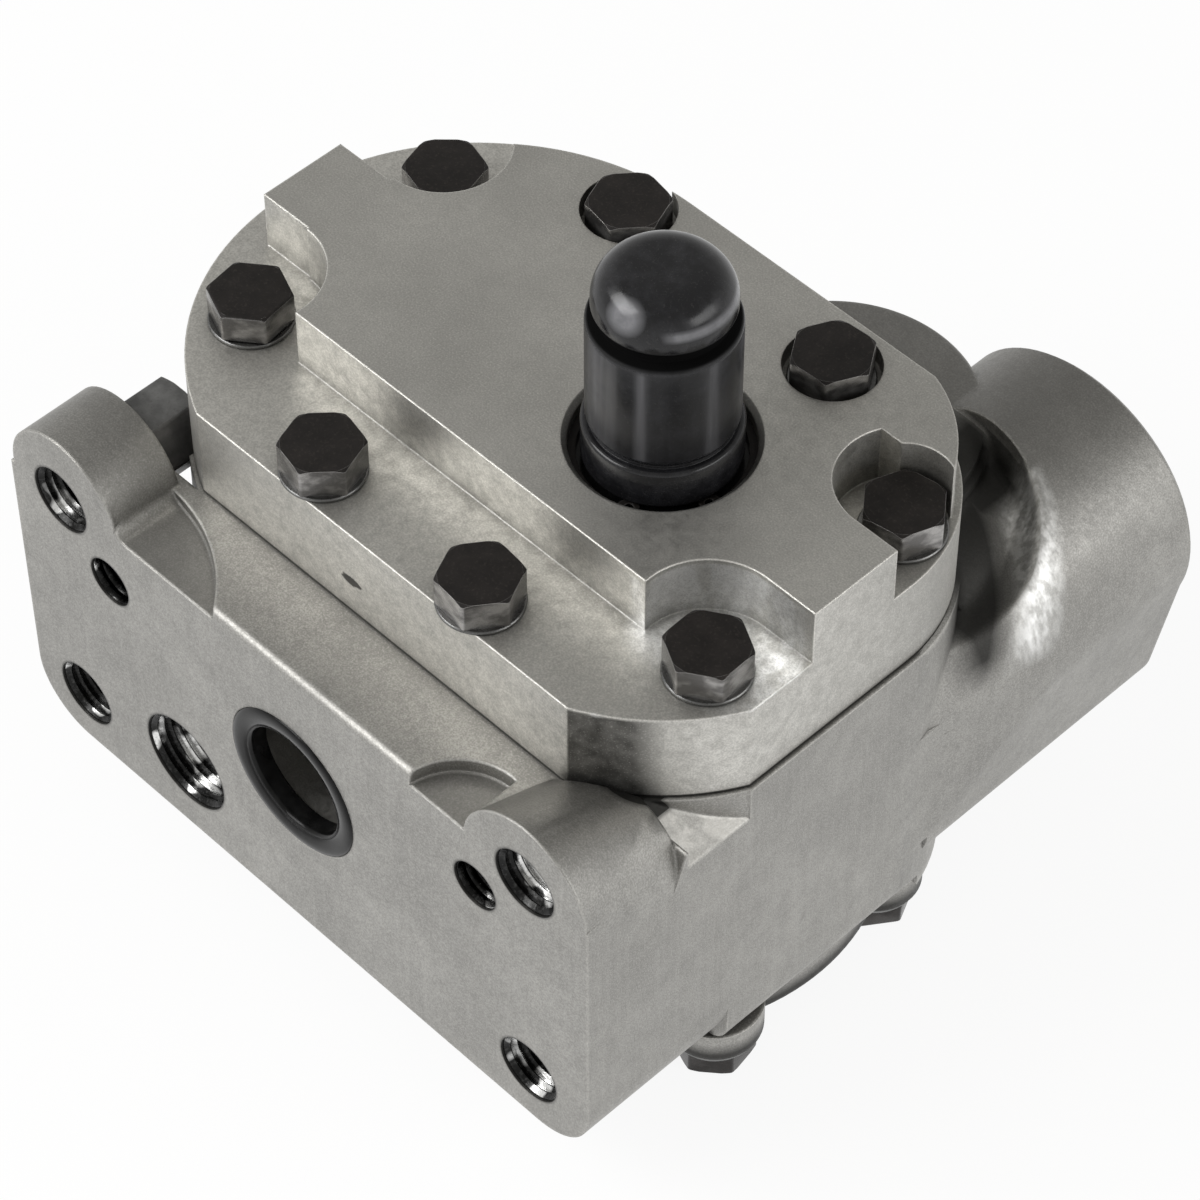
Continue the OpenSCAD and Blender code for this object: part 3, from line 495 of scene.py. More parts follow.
    def rounded(self, radius):
        """Normal with edges rounded by a radius, and where those edges are."""
        made = self.add("ShaderNodeBevel", samples=6)
        self.feed(made.inputs["Radius"], radius)
        flat = self.add("ShaderNodeNewGeometry").outputs["Normal"]
        dot = self.add("ShaderNodeVectorMath", operation="DOT_PRODUCT")
        self.join(made.outputs[0], dot.inputs[0])
        self.join(flat, dot.inputs[1])
        return made.outputs[0], self.spread(dot.outputs["Value"], 0.985, 0.86)

    def corner_shade(self, reach):
        """1 in the open, towards 0 in a narrow corner; used for painted shade."""
        made = self.add("ShaderNodeAmbientOcclusion", samples=6, only_local=False)
        made.inputs["Distance"].default_value = reach
        return made.outputs["AO"]

    def bump(self, height, depth, strength=1.0, normal=None):
        made = self.add("ShaderNodeBump")
        made.inputs["Strength"].default_value = strength
        made.inputs["Distance"].default_value = depth
        self.join(height, made.inputs["Height"])
        if normal:
            self.join(normal, made.inputs["Normal"])
        return made.outputs[0]

    def finish(self, colour, roughness, normal, metallic=1.0):
        self.feed(self.shader.inputs["Base Color"], colour)
        self.feed(self.shader.inputs["Roughness"], roughness)
        self.join(normal, self.shader.inputs["Normal"])
        if metallic is not None:
            self.shader.inputs["Metallic"].default_value = metallic
        return self.material


def shade(colour, amount):
    return tuple(max(0.0, min(1.0, part * amount)) for part in colour)


def flange_bores(bench):
    """Masks of the flange's bores and of the thin dark line round their mouths."""
    centred = bench.add("ShaderNodeVectorMath", operation="SUBTRACT")
    bench.join(bench.place, centred.inputs[0])
    centred.inputs[1].default_value = (PATTERN[0], 0, PATTERN[1])
    mirrored = bench.add("ShaderNodeVectorMath", operation="ABSOLUTE")
    bench.join(centred.outputs[0], mirrored.inputs[0])
    flat = (1, 0, 1)
    spans = [
        (bench.away((CORNER[0], 0, CORNER[1]), flat, mirrored.outputs[0]), 0.0065),
        (bench.away((-0.0712, 0, -0.0463), flat), 0.00475),
        (bench.away((0.0180, 0, -0.0463), flat), 0.00475),
        (bench.away((-0.0554, 0, -0.0808), flat), 0.0098),
    ]
    inside = bench.any_of(*[bench.under(span, size + 0.00004, size + 0.00010) for span, size in spans])
    mouth = bench.any_of(*[bench.under(span, size + 0.00015, size + 0.00055) for span, size in spans])
    outlet = bench.under(bench.away((PATTERN[0], 0, PATTERN[1]), flat), 0.01124, 0.0113)
    front = bench.under(bench.parts()[1], -0.034, -0.033)
    return bench.all_of(inside, front), bench.all_of(mouth, front), bench.all_of(outlet, front)


def boss_zones(bench):
    """Masks of the painted shade in the groove beside the suction boss, of the painted highlight on its rolled lip
    and of the painted shade on its top.
    """
    x, y, z = bench.parts()
    span = bench.away((0.011, 0.0145, 0), (1, 1, 0))
    low = bench.spread(z, -0.052, -0.046)
    zone = bench.all_of(low, bench.spread(y, 0.024, 0.032), bench.spread(x, 0.008, 0.014),
                        bench.under(z, -0.0300, -0.0296))
    inner = bench.under(span, 0.0375, 0.0415)
    rear = bench.all_of(bench.under(x, 0.024, 0.029), bench.under(z, -0.0314, -0.0311),
                        bench.under(span, 0.0455, 0.0480))
    lip = bench.all_of(bench.within(span, 0.0400, 0.0440, 0.0450, 0.0500),
                       bench.spread(x, 0.025, 0.030))
    deep = bench.all_of(bench.within(x, 0.003, 0.005, 0.026, 0.030),
                        bench.within(y, 0.046, 0.050, 0.070, 0.072),
                        bench.within(z, -0.078, -0.075, -0.0350, -0.0335))
    top = bench.all_of(bench.spread(y, 0.030, 0.050), bench.spread(bench.upward(), 0.15, 0.95),
                       bench.spread(x, 0.058, 0.020))
    seam = bench.all_of(bench.spread(x, 0.040, 0.041), bench.within(y, 0.016, 0.018, 0.026, 0.028))
    groove = bench.any_of(bench.all_of(zone, bench.any_of(inner, rear)), deep)
    return groove, bench.all_of(zone, lip), top, seam


def lobe_zones(bench):
    """Masks of the painted shade on the lobes' upper faces, the painted shadow behind the right one, the scoops and
    the painted highlight on the milled flat.
    """
    x, y, z = bench.parts()
    up = bench.upward()
    lobe_top_shade = bench.all_of(bench.spread(z, -0.0304, -0.0298), bench.spread(y, -0.058, -0.040, 0.35, 1.0),
                        bench.spread(up, 0.35, 0.85), bench.under(y, -0.030, -0.028))
    nook_shadow = bench.under(bench.away((0.0385, -0.0372, -0.0295), (0.8, 1.0, 1.0)), 0.0016, 0.0036)
    scoops = bench.all_of(bench.within(z, -0.0345, -0.0340, -0.0318, -0.0314),
                          bench.under(y, -0.034, -0.033), bench.spread(up, 0.95, 0.97))
    flat = bench.all_of(bench.within(x, 0.034, 0.0345, 0.0434, 0.0436),
                        bench.within(y, -0.0400, -0.0395, -0.0150, -0.0140),
                        bench.within(z, -0.0385, -0.0380, -0.0313, -0.0310),
                        bench.under(bench.sum("ABSOLUTE", bench.sum("SUBTRACT", up, 0.82)), 0.05, 0.08))
    return lobe_top_shade, nook_shadow, scoops, flat


def blasted_casting(name, colour, radius):
    """Fine-blasted cast aluminium: grain, soft clouds, drag marks, worn edges with a painted edge highlight,
    painted shade in narrow corners, in the bores, in the boss's groove, on upper faces and underneath, and painted
    highlights on the boss's lip, a flat and inside the outlet.
    """
    bench = Bench(name)
    clouds = bench.spread(bench.noise(45.0, 3.0, 0.55), 0.35, 0.68)
    blotch = bench.noise(230.0, 3.0, 0.6)
    grain = bench.noise(3300.0, 1.0, 0.5)
    pits = bench.noise(900.0, 3.0, 0.65)
    drag = bench.noise(900.0, 2.0, 0.5, stretch=(1.0, 1.0, 0.04))
    groove, lip, top, seam = boss_zones(bench)
    lobe_top_shade, nook_shadow, scoops, flat = lobe_zones(bench)
    inside, mouth, outlet = flange_bores(bench)
    normal, edge = bench.rounded(bench.sum("MULTIPLY_ADD", bench.any_of(groove, lip, seam), 0.003, radius))
    tone = bench.blend(clouds, shade(colour, 0.88), shade(colour, 1.08))
    tone = bench.blend(bench.spread(blotch, 0.42, 0.70, 0.0, 0.5), tone, shade(colour, 0.74))
    tone = bench.blend(bench.spread(drag, 0.45, 0.75, 0.0, 0.22), tone, shade(colour, 1.25))
    # lighter edges: worn edges, and also a painted edge highlight, widest where the rounding grows at the boss's
    # groove, lip and seam
    tone = bench.paint(tone, edge, 0.5, shade(colour, 1.7))
    # painted shade: darker in narrow corners and beside other parts
    tone = bench.blend(bench.spread(bench.corner_shade(0.006), 0.25, 0.85, 0.75, 0.0), tone, shade(colour, 0.30))
    tone = bench.speckle(tone, grain, shade(colour, 0.40), shade(colour, 1.6))
    # painted shade on the boss's top and on the lobes' upper faces; the scoops take a darker tone of their own
    for mask, strength, amount in ((top, 0.62, 0.30), (lobe_top_shade, 0.45, 0.30), (scoops, 0.40, 0.45)):
        tone = bench.paint(tone, mask, strength, shade(colour, amount))
    # painted highlight on the flat, varied by the blotches
    tone = bench.paint(tone, flat, bench.spread(blotch, 0.40, 0.60, 0.15, 0.50), shade(colour, 2.0))
    # painted shadow in the corner behind the right lobe
    tone = bench.paint(tone, nook_shadow, 0.95, shade(colour, 0.06))
    # painted highlight in streaky lines on the boss's rolled lip
    strokes = bench.spread(bench.noise(600.0, 2.0, 0.6, stretch=(1.0, 1.0, 0.25)), 0.40, 0.62, 0.35, 1.0)
    tone = bench.blend(bench.all_of(lip, strokes, 0.9), tone, shade(colour, 2.7))
    # painted shade in the groove beside the boss and inside the bores; a thin dark line round the bores' mouths
    for mask, strength, amount in ((groove, 0.93, 0.07), (mouth, 0.7, 0.22), (inside, 0.92, 0.06)):
        tone = bench.paint(tone, mask, strength, shade(colour, amount))
    # painted shade in the outlet bore, and a painted lit area on its right side, strongest in the upper half
    around, _, down = bench.parts()
    lit = bench.all_of(outlet, bench.spread(around, -0.0290, -0.0225),
                       bench.spread(down, -0.0600, -0.0640, 1.0, 0.35))
    tone = bench.paint(tone, outlet, 0.55, shade(colour, 0.35))
    tone = bench.paint(tone, lit, 0.8, shade(colour, 2.4))
    # painted shade on the lowest millimetres of the rear cover, underneath the pump
    foot = bench.spread(down, -0.1030, -0.0998, 0.92, 0)
    tone = bench.blend(foot, tone, shade(colour, 0.07))
    rough = bench.spread(pits, 0.3, 0.7, 0.44, 0.56)
    rough = bench.sum("SUBTRACT", rough, bench.sum("MULTIPLY", outlet, 0.06))
    height = bench.sum("ADD", bench.sum("MULTIPLY", grain, 0.6), bench.sum("MULTIPLY", pits, 0.8))
    return bench.finish(tone, rough, bench.bump(height, 0.00006, 0.6, normal))


def milled_cover(name, colour, radius):
    """Milled aluminium with a stained, mottled top, cutter marks on the sides and a dark seam at its foot. Worn
    edges carry a painted edge highlight; walls, two pockets and a glint carry painted highlights; one corner
    carries a painted dark reflection, and the end walls and narrow corners painted shade.
    """
    bench = Bench(name)
    clouds = bench.spread(bench.noise(38.0, 4.0, 0.6), 0.32, 0.66)
    mottle = bench.noise(420.0, 4.0, 0.6)
    grain = bench.noise(3300.0, 1.0, 0.5)
    cutter = bench.noise(1500.0, 2.0, 0.5, stretch=(0.05, 0.05, 1.0))
    along_x, along_y, height_up = bench.parts()
    wall = bench.under(bench.upward(), 0.35, 0.65)
    ledge = bench.all_of(bench.within(height_up, -0.0130, -0.0122, -0.0112, -0.0104),
                         bench.spread(along_x, -0.060, -0.025, 1.0, 0.45))
    normal, edge = bench.rounded(radius)
    tone = bench.blend(clouds, shade(colour, 0.84), shade(colour, 1.08))
    # painted highlight on the walls; the ledge is lightened as well, most to the left
    tone = bench.paint(tone, bench.any_of(wall, ledge), 0.5, shade(colour, 1.45))
    # painted dark reflection on the wall at the cover's front right corner
    corner = bench.all_of(wall, bench.within(along_x, 0.0224, 0.0227, 0.0312, 0.0352),
                          bench.under(along_y, -0.032, -0.030), bench.under(height_up, -0.0124, -0.0120))
    # painted glint on the top edge at that corner
    glint = bench.all_of(bench.under(bench.away((0.0277, -0.0415, -0.0117), (0.55, 1.0, 1.0)), 0.0007, 0.0013),
                         bench.spread(bench.noise(700.0), 0.35, 0.45))
    # painted highlight, nearly white and streaky, in the pocket at the right front bolt
    f_pocket_highlight = bench.all_of(bench.under(bench.away((0.0305, -0.0195, 0), (1, 1, 0)), 0.0138, 0.0152),
                            bench.spread(height_up, -0.0123, -0.0119), bench.spread(along_y, -0.0290, -0.0230),
                            bench.under(height_up, -0.0012, -0.0007))
    streak = bench.spread(bench.noise(190.0, 2.0, 0.6, stretch=(1.0, 1.0, 0.25)), 0.40, 0.50, 0.45, 1.0)
    # painted highlight, streaky, on the wall of the pocket at the right rear bolt
    h_pocket_highlight = bench.all_of(bench.under(bench.away((0.0270, 0.0190, 0), (1, 1, 0)), 0.0120, 0.0150), wall,
                            bench.spread(height_up, -0.0123, -0.0119))
    # painted shade on the walls at the left and right ends
    left_wall_shade = bench.all_of(wall, bench.under(along_x, -0.0870, -0.0790))
    right_wall_shade = bench.all_of(wall, bench.spread(along_x, 0.038, 0.042), bench.spread(along_y, -0.012, 0.020))
    # painted dark reflection at the corner and painted shade on the end walls
    for mask, strength, amount in ((corner, 0.86, 0.10), (right_wall_shade, 0.5, 0.40), (left_wall_shade, 0.5, 0.40)):
        tone = bench.paint(tone, mask, strength, shade(colour, amount))
    tone = bench.blend(bench.all_of(f_pocket_highlight, streak), tone, (0.97, 0.97, 0.96))
    tone = bench.blend(bench.all_of(h_pocket_highlight, streak, 0.6), tone, shade(colour, 1.8))
    tone = bench.blend(glint, tone, shade(colour, 2.4))
    tone = bench.blend(bench.spread(mottle, 0.35, 0.7, 0.0, 0.55), tone, shade(colour, 0.72))
    # lighter edges: worn edges, and also a painted edge highlight
    tone = bench.paint(tone, edge, 0.6, shade(colour, 1.8))
    # painted shade: darker in narrow corners and beside other parts
    tone = bench.blend(bench.spread(bench.corner_shade(0.005), 0.25, 0.85, 0.75, 0.0), tone, shade(colour, 0.30))
    tone = bench.speckle(tone, grain, shade(colour, 0.42), shade(colour, 1.5), 0.30)
    # dark seam along the foot and a small mark on the front wall
    seam = bench.spread(height_up, -0.03035, -0.03015, 0.88, 0.0)
    span = bench.away((-0.0275, -0.0432, -0.0231), (0.55, 0.3, 1.2))
    ragged = bench.sum("MULTIPLY_ADD", bench.noise(900.0, 1.0, 0.5), 0.0012, span)
    mark = bench.spread(ragged, 0.0016, 0.0020, 0.92, 0.0)
    tone = bench.blend(bench.any_of(seam, mark), tone, shade(colour, 0.05))
    rough = bench.spread(mottle, 0.3, 0.7, 0.42, 0.56)
    height = bench.sum("ADD", bench.sum("MULTIPLY", grain, 0.5), bench.sum("MULTIPLY", cutter, 0.5))
    return bench.finish(tone, rough, bench.bump(height, 0.00005, 0.5, normal))


def black_oxide(name, colour, radius, bare=1.0):
    """Black oxide on forged steel: matte brown-black faces, shinier flanks lightened by rubbed bare metal and a
    painted sheen, bare metal on the edges.
    """
    bench = Bench(name)
    patches = bench.spread(bench.noise(260.0, 3.0, 0.6), 0.35, 0.7)
    rubs_and_sheen = bench.spread(bench.noise(170.0, 3.0, 0.6, stretch=(1.0, 1.0, 1.6)), 0.46, 0.66)
    grain = bench.noise(2200.0, 2.0, 0.6)
    side = bench.under(bench.sum("ABSOLUTE", bench.upward()), 0.35, 0.75)
    normal, edge = bench.rounded(radius)
    tone = bench.blend(patches, shade(colour, 0.7), shade(colour, 1.3))
    tone = bench.blend(bench.spread(grain, 0.55, 0.8, 0.0, 0.45), tone, (0.05, 0.042, 0.036))
    # flanks lightened: rubbed bare metal, and also a painted sheen
    tone = bench.blend(bench.all_of(side, bench.spread(rubs_and_sheen, 0, 1, 0.30 * bare, 0.85 * bare)), tone,
                       (0.36, 0.35, 0.34))
    tone = bench.paint(tone, edge, 0.75 * bare, (0.34, 0.33, 0.32))
    rough = bench.blend(side, (0.60, 0.60, 0.60), (0.27, 0.27, 0.27))
    bench.feed(bench.shader.inputs["Specular IOR Level"], bench.spread(side, 0, 1, 0.25, 0.5))
    bench.feed(bench.shader.inputs["Metallic"], bench.spread(side, 0, 1, 0.15, 0.85))
    return bench.finish(tone, rough, bench.bump(grain, 0.00006, 0.5, normal), metallic=None)


def turned_steel(name, colour, radius):
    """Turned steel with fine rings of tool marks and a little oil staining."""
    bench = Bench(name)
    stain = bench.spread(bench.noise(150.0, 3.0, 0.6), 0.35, 0.7)
    rings = bench.noise(2200.0, 1.0, 0.5, stretch=(0.1, 0.1, 1.0))
    grain = bench.noise(3000.0, 2.0, 0.5)
    normal, edge = bench.rounded(radius)
    tone = bench.blend(stain, shade(colour, 0.75), shade(colour, 1.1))
    tone = bench.blend(bench.spread(rings, 0.4, 0.7, 0.0, 0.3), tone, shade(colour, 1.35))
    tone = bench.paint(tone, edge, 0.5, shade(colour, 1.8))
    rough = bench.spread(grain, 0.3, 0.7, 0.24, 0.40)
    height = bench.sum("ADD", bench.sum("MULTIPLY", rings, 0.7), bench.sum("MULTIPLY", grain, 0.3))
    return bench.finish(tone, rough, bench.bump(height, 0.00003, 0.4, normal))


def oily_thread(name, colour, radius):
    """Threads dark with old oil, with bright bare patches."""
    bench = Bench(name)
    bare = bench.spread(bench.noise(190.0, 1.0, 0.5), 0.56, 0.64)
    grain = bench.noise(1500.0, 2.0, 0.6)
    normal, edge = bench.rounded(radius)
    tone = bench.blend(bare, shade(colour, 0.06), shade(colour, 2.2))
    tone = bench.blend(bench.spread(grain, 0.5, 0.75, 0.0, 0.6), tone, shade(colour, 0.25))
    rough = bench.spread(grain, 0.3, 0.7, 0.18, 0.34)
    return bench.finish(tone, rough, bench.bump(grain, 0.00005, 0.5, normal))


def bearing_bronze(name, colour, radius):
    """Sintered bronze: fine pores, warm clouds, polished edges."""
    bench = Bench(name)
    clouds = bench.spread(bench.noise(180.0, 3.0, 0.6), 0.35, 0.7)
    pores = bench.noise(3200.0, 2.0, 0.6)
    normal, edge = bench.rounded(radius)
    tone = bench.blend(clouds, shade(colour, 0.75), shade(colour, 1.15))
    tone = bench.blend(bench.spread(pores, 0.6, 0.8, 0.0, 0.6), tone, shade(colour, 0.35))
    tone = bench.paint(tone, edge, 0.5, shade(colour, 1.6))
    rough = bench.spread(pores, 0.3, 0.7, 0.28, 0.42)
    return bench.finish(tone, rough, bench.bump(pores, 0.00004, 0.5, normal))


def seal_rubber(name, colour, radius):
    """Moulded seal rubber with a faint bloom."""
    bench = Bench(name)
    bloom = bench.spread(bench.noise(300.0, 3.0, 0.6), 0.4, 0.75)
    grain = bench.noise(2500.0, 2.0, 0.6)
    normal, edge = bench.rounded(radius)
    tone = bench.blend(bloom, shade(colour, 0.4), shade(colour, 1.0))
    tone = bench.paint(tone, edge, 0.15, shade(colour, 2.5))
    rough = bench.spread(bloom, 0.0, 1.0, 0.14, 0.26)
    bench.shader.inputs["Specular IOR Level"].default_value = 0.16
    return bench.finish(tone, rough, bench.bump(grain, 0.00002, 0.2, normal), metallic=0.0)


def cap_plastic(name, colour, radius):
    """Glossy moulded plastic with long draw marks, scuffs and dust, painted reflections in stripes round the body,
    painted highlights on the crown, and a matte band under the crown darkened as a painted shadow.
    """
    bench = Bench(name)
    scuff = bench.spread(bench.noise(240.0, 4.0, 0.65), 0.45, 0.75)
    dust = bench.noise(2300.0, 3.0, 0.7)
    draw = bench.noise(900.0, 2.0, 0.5, stretch=(1.0, 1.0, 0.05))
    high = bench.parts()[2]
    # painted reflections in stripes round the body, set by angle about the axis
    round_way = bench.add("ShaderNodeTexGradient", gradient_type="RADIAL")
    bench.join(bench.place, round_way.inputs[0])
    reflection_streaks = bench.add("ShaderNodeValToRGB")
    steps = ((0.15, 0.02), (0.215, 0.60), (0.262, 0.30), (0.284, 0.0), (0.308, 0.02), (0.328, 0.75),
             (0.352, 0.10), (0.405, 0.03), (0.450, 0.08), (0.478, 0.62), (0.506, 0.10), (0.535, 0.0),
             (0.585, 0.35), (0.65, 0.05))
    ramp = reflection_streaks.color_ramp
    ramp.interpolation = "EASE"
    while len(ramp.elements) < len(steps):
        ramp.elements.new(0.5)
    for stop, (place, level) in zip(ramp.elements, steps):
        stop.position = place
        stop.color = (level, level, level, 1)
    bench.join(round_way.outputs["Fac"], reflection_streaks.inputs[0])
    body = bench.all_of(bench.within(high, 0.0066, 0.0076, 0.0262, 0.0272))
    # band under the crown: made matte, and darkened as a painted shadow
    band = bench.all_of(bench.within(high, 0.0270, 0.0276, 0.0302, 0.0310))
    crown = bench.spread(high, 0.0300, 0.0306)
    # painted highlights on the crown: a soft round area and a curved line
    highlight_patch = bench.under(bench.away((0.0014, -0.0098, 0.0352), (0.9, 0.9, 1.1)), 0.0016, 0.0034)
    highlight_crescent = bench.all_of(bench.under(bench.sum("ABSOLUTE", bench.sum("SUBTRACT", high, 0.0338)), 0.0003, 0.0011),
                            bench.spread(bench.parts()[1], -0.0085, -0.0065),
                            bench.spread(bench.parts()[0], 0.0060, 0.0080))
    painted_highlight = bench.all_of(crown, bench.any_of(highlight_patch, highlight_crescent), bench.spread(scuff, 0, 1, 1.0, 0.55))
    normal, edge = bench.rounded(radius)
    tone = bench.blend(scuff, colour, shade(colour, 2.4))
    # painted highlight on the crown
    tone = bench.blend(painted_highlight, tone, (0.17, 0.17, 0.18))
    # painted reflection stripes on the body, broken up by the draw marks
    marks = bench.sum("MULTIPLY", reflection_streaks.outputs[0], bench.spread(draw, 0.3, 0.7, 0.6, 1.2))
    tone = bench.blend(bench.all_of(body, marks), tone, (0.105, 0.105, 0.112))
    tone = bench.blend(bench.spread(dust, 0.58, 0.8, 0.0, 0.4), tone, (0.08, 0.077, 0.075))
    tone = bench.paint(tone, edge, 0.25, shade(colour, 6.0))
    # painted shadow on the band under the crown
    tone = bench.paint(tone, band, 0.95, (0.002, 0.002, 0.002))
    rough = bench.sum("ADD", bench.spread(scuff, 0.0, 1.0, 0.17, 0.32), bench.sum("MULTIPLY", body, 0.14))
    rough = bench.sum("ADD", rough, bench.sum("MULTIPLY", band, 0.5))
    dull = bench.any_of(band, bench.sum("MULTIPLY", body, 0.4))
    bench.feed(bench.shader.inputs["Specular IOR Level"], bench.spread(dull, 0, 1, 0.36, 0.03))
    height = bench.sum("ADD", bench.sum("MULTIPLY", dust, 0.3), bench.sum("MULTIPLY", draw, 0.5))
    return bench.finish(tone, rough, bench.bump(height, 0.00003, 0.35, normal), metallic=0.0)


# Pieces

def model_bolt(name, radius, height, shank):
    """Hexagon bolt standing on its bearing face at z = 0, with a shank below it."""
    clear_bench()
    bpy.ops.mesh.primitive_cylinder_add(
        vertices=6, radius=radius, depth=height, location=(0, 0, height / 2))
    head = settle(name)
    pick_edges(head, lambda a, b: abs(a.z - b.z) > height * 0.9)
    bpy.ops.mesh.bevel(offset=0.0004, segments=3, affect="EDGES")
    close_edit()
    # round blank with a sloped rim, which gives the head its arcs
    clear_bench()
    slope = 0.00055
    bpy.ops.mesh.primitive_cylinder_add(
        vertices=96, radius=radius * 1.02, depth=height + 0.001 - slope,
        location=(0, 0, (height - slope - 0.001) / 2))
    blank = settle(name + "_blank")
    pick_faces(blank, lambda centre, normal: normal.z > 0.9)
    bpy.ops.mesh.extrude_region_move(TRANSFORM_OT_translate={"value": (0, 0, slope)})
    bpy.ops.transform.resize(value=(0.885, 0.885, 1.0), center_override=(0, 0, height))
    close_edit()
    carve(head, blank, "INTERSECT")
    smooth(head, 24.0)
    # shank
    clear_bench()
    bpy.ops.mesh.primitive_cylinder_add(
        vertices=40, radius=SHANK_RADIUS, depth=shank, location=(0, 0, SHANK_OVERLAP - shank / 2))
    stem = settle(name + "_stem")
    pick_faces(stem, lambda centre, normal: normal.z < -0.9)
    bpy.ops.mesh.inset(thickness=0.0006)
    bpy.ops.transform.translate(value=(0, 0, -0.0004))
    close_edit()
    smooth(stem, 30.0)
    clear_bench()
    stem.select_set(True)
    head.select_set(True)
    bpy.context.view_layer.objects.active = head
    bpy.ops.object.join()
    return head


def model_thread(name, radius, depth, pitch, tooth):
    """Lining of a threaded bore: rings of flanks along the wall, open at both ends."""
    wall = radius - 0.00003
    points = [(wall, 0.0005), (wall - 0.00012, 0.0005)]
    turns = int(depth / pitch)
    for turn in range(turns):
        start = 0.0007 + turn * pitch
        points += [(wall - tooth, start + pitch * 0.42), (wall - tooth, start + pitch * 0.54),
                   (wall - 0.00012, start + pitch * 0.96)]
    points += [(wall, 0.0007 + turns * pitch), (wall, 0.0005)]
    return turn_profile(name, points, 64)


def model_box(name, low, high):
    """Block between two corners, used to cut with."""
    clear_bench()
    low, high = Vector(low), Vector(high)
    bpy.ops.mesh.primitive_cube_add(size=1.0, location=(low + high) / 2, scale=high - low)
    piece = settle(name)
    return piece


def model_rod(name, radius, length, place, turn=(0, 0, 0), steps=128):
    """Round bar centred on a place and turned by angles in degrees."""
    clear_bench()
    bpy.ops.mesh.primitive_cylinder_add(vertices=steps, radius=radius, depth=length, location=place,
                                        rotation=[math.radians(angle) for angle in turn])
    piece = settle(name)
    return piece


def carve(piece, tool, operation):
    """Adds, cuts or keeps with another closed piece, which is used up."""
    use_modifier(piece, "BOOLEAN", operation=operation, object=tool, solver="EXACT")
    bpy.data.objects.remove(tool)


def model_housing(tilt):
    """Copy of the housing: its right lobe falls to the back by an angle, and its bulge is fuller."""
    shell = copy_piece(NODES["main_housing"], "housing_casting", Matrix())
    shell.parent = None
    shell.matrix_world = Matrix()
    take(shell)
    bpy.ops.mesh.customdata_custom_splitnormals_clear()
    bpy.ops.object.mode_set(mode="EDIT")
    bpy.ops.mesh.select_all(action="SELECT")
    bpy.ops.mesh.remove_doubles(threshold=0.000002)
    bpy.ops.mesh.normals_make_consistent(inside=False)
    close_edit()
    # right lobe: all that stands above a bar that falls to the back
    above = model_box("lobe_waste", (0.014, -0.0610, -0.03076), (0.0460, -0.0325, -0.0150))
    drop = LOBE_RADIUS / math.cos(tilt) - LOBE_RADIUS + 0.0002
    bar = model_rod("lobe_bar", LOBE_RADIUS, 0.12, (LOBE_X, FLANGE_FACE, LOBE_Z - drop),
                    (-90 - math.degrees(tilt), 0, 0), 160)
    carve(above, bar, "DIFFERENCE")
    carve(shell, above, "DIFFERENCE")
    flank = model_box("flank_waste", (0.0300, -0.0020, 0.0), (0.0470, 0.0200, 0.0250))
    carve(flank, model_rod("flank_bar", LOBE_RADIUS, 0.08, (LOBE_X, 0.0, 0.0), (90, 0, 0), 160), "DIFFERENCE")
    flank.data.transform(Matrix.Translation((0, FLANGE_FACE, LOBE_Z - drop))
                         @ Matrix.Rotation(-tilt, 4, "X"))
    carve(shell, flank, "DIFFERENCE")
    # cheek between the side wall and the boss
    carve(shell, model_box("cheek", (0.0360, 0.0090, -0.0845), (0.04329, 0.0260, -0.0545)), "UNION")
    # fuller bulge behind the drive gear, kept out of the suction bore
    bulge = model_rod("bulge", 0.0256, 0.0635, (-0.0050, 0.0470, -0.06405), steps=160)
    pick_faces(bulge, lambda centre, normal: normal.z > 0.9)
    bpy.ops.mesh.bevel(offset=0.0012, segments=3, affect="EDGES")
    close_edit()
    carve(bulge, model_box("bulge_waste", (-0.05, 0.0, -0.12), (0.05, 0.0420, 0.0)), "DIFFERENCE")
    carve(bulge, model_rod("bore_waste", SUCTION_RADIUS, 0.060, (SUCTION_X, 0.0680, SUCTION_Z), (90, 0, 0)),
          "DIFFERENCE")
    carve(shell, bulge, "UNION")
    # wall of the suction bore under the trough
    middle = (SUCTION_X, 0.0505, SUCTION_Z)
    sleeve = model_rod("sleeve", SUCTION_RADIUS + 0.0020, 0.0310, middle, (90, 0, 0))
    carve(sleeve, model_rod("sleeve_bore", SUCTION_RADIUS - 0.00005, 0.0400, middle, (90, 0, 0)), "DIFFERENCE")
    carve(shell, sleeve, "UNION")
    smooth(shell, 28.0)
    return shell


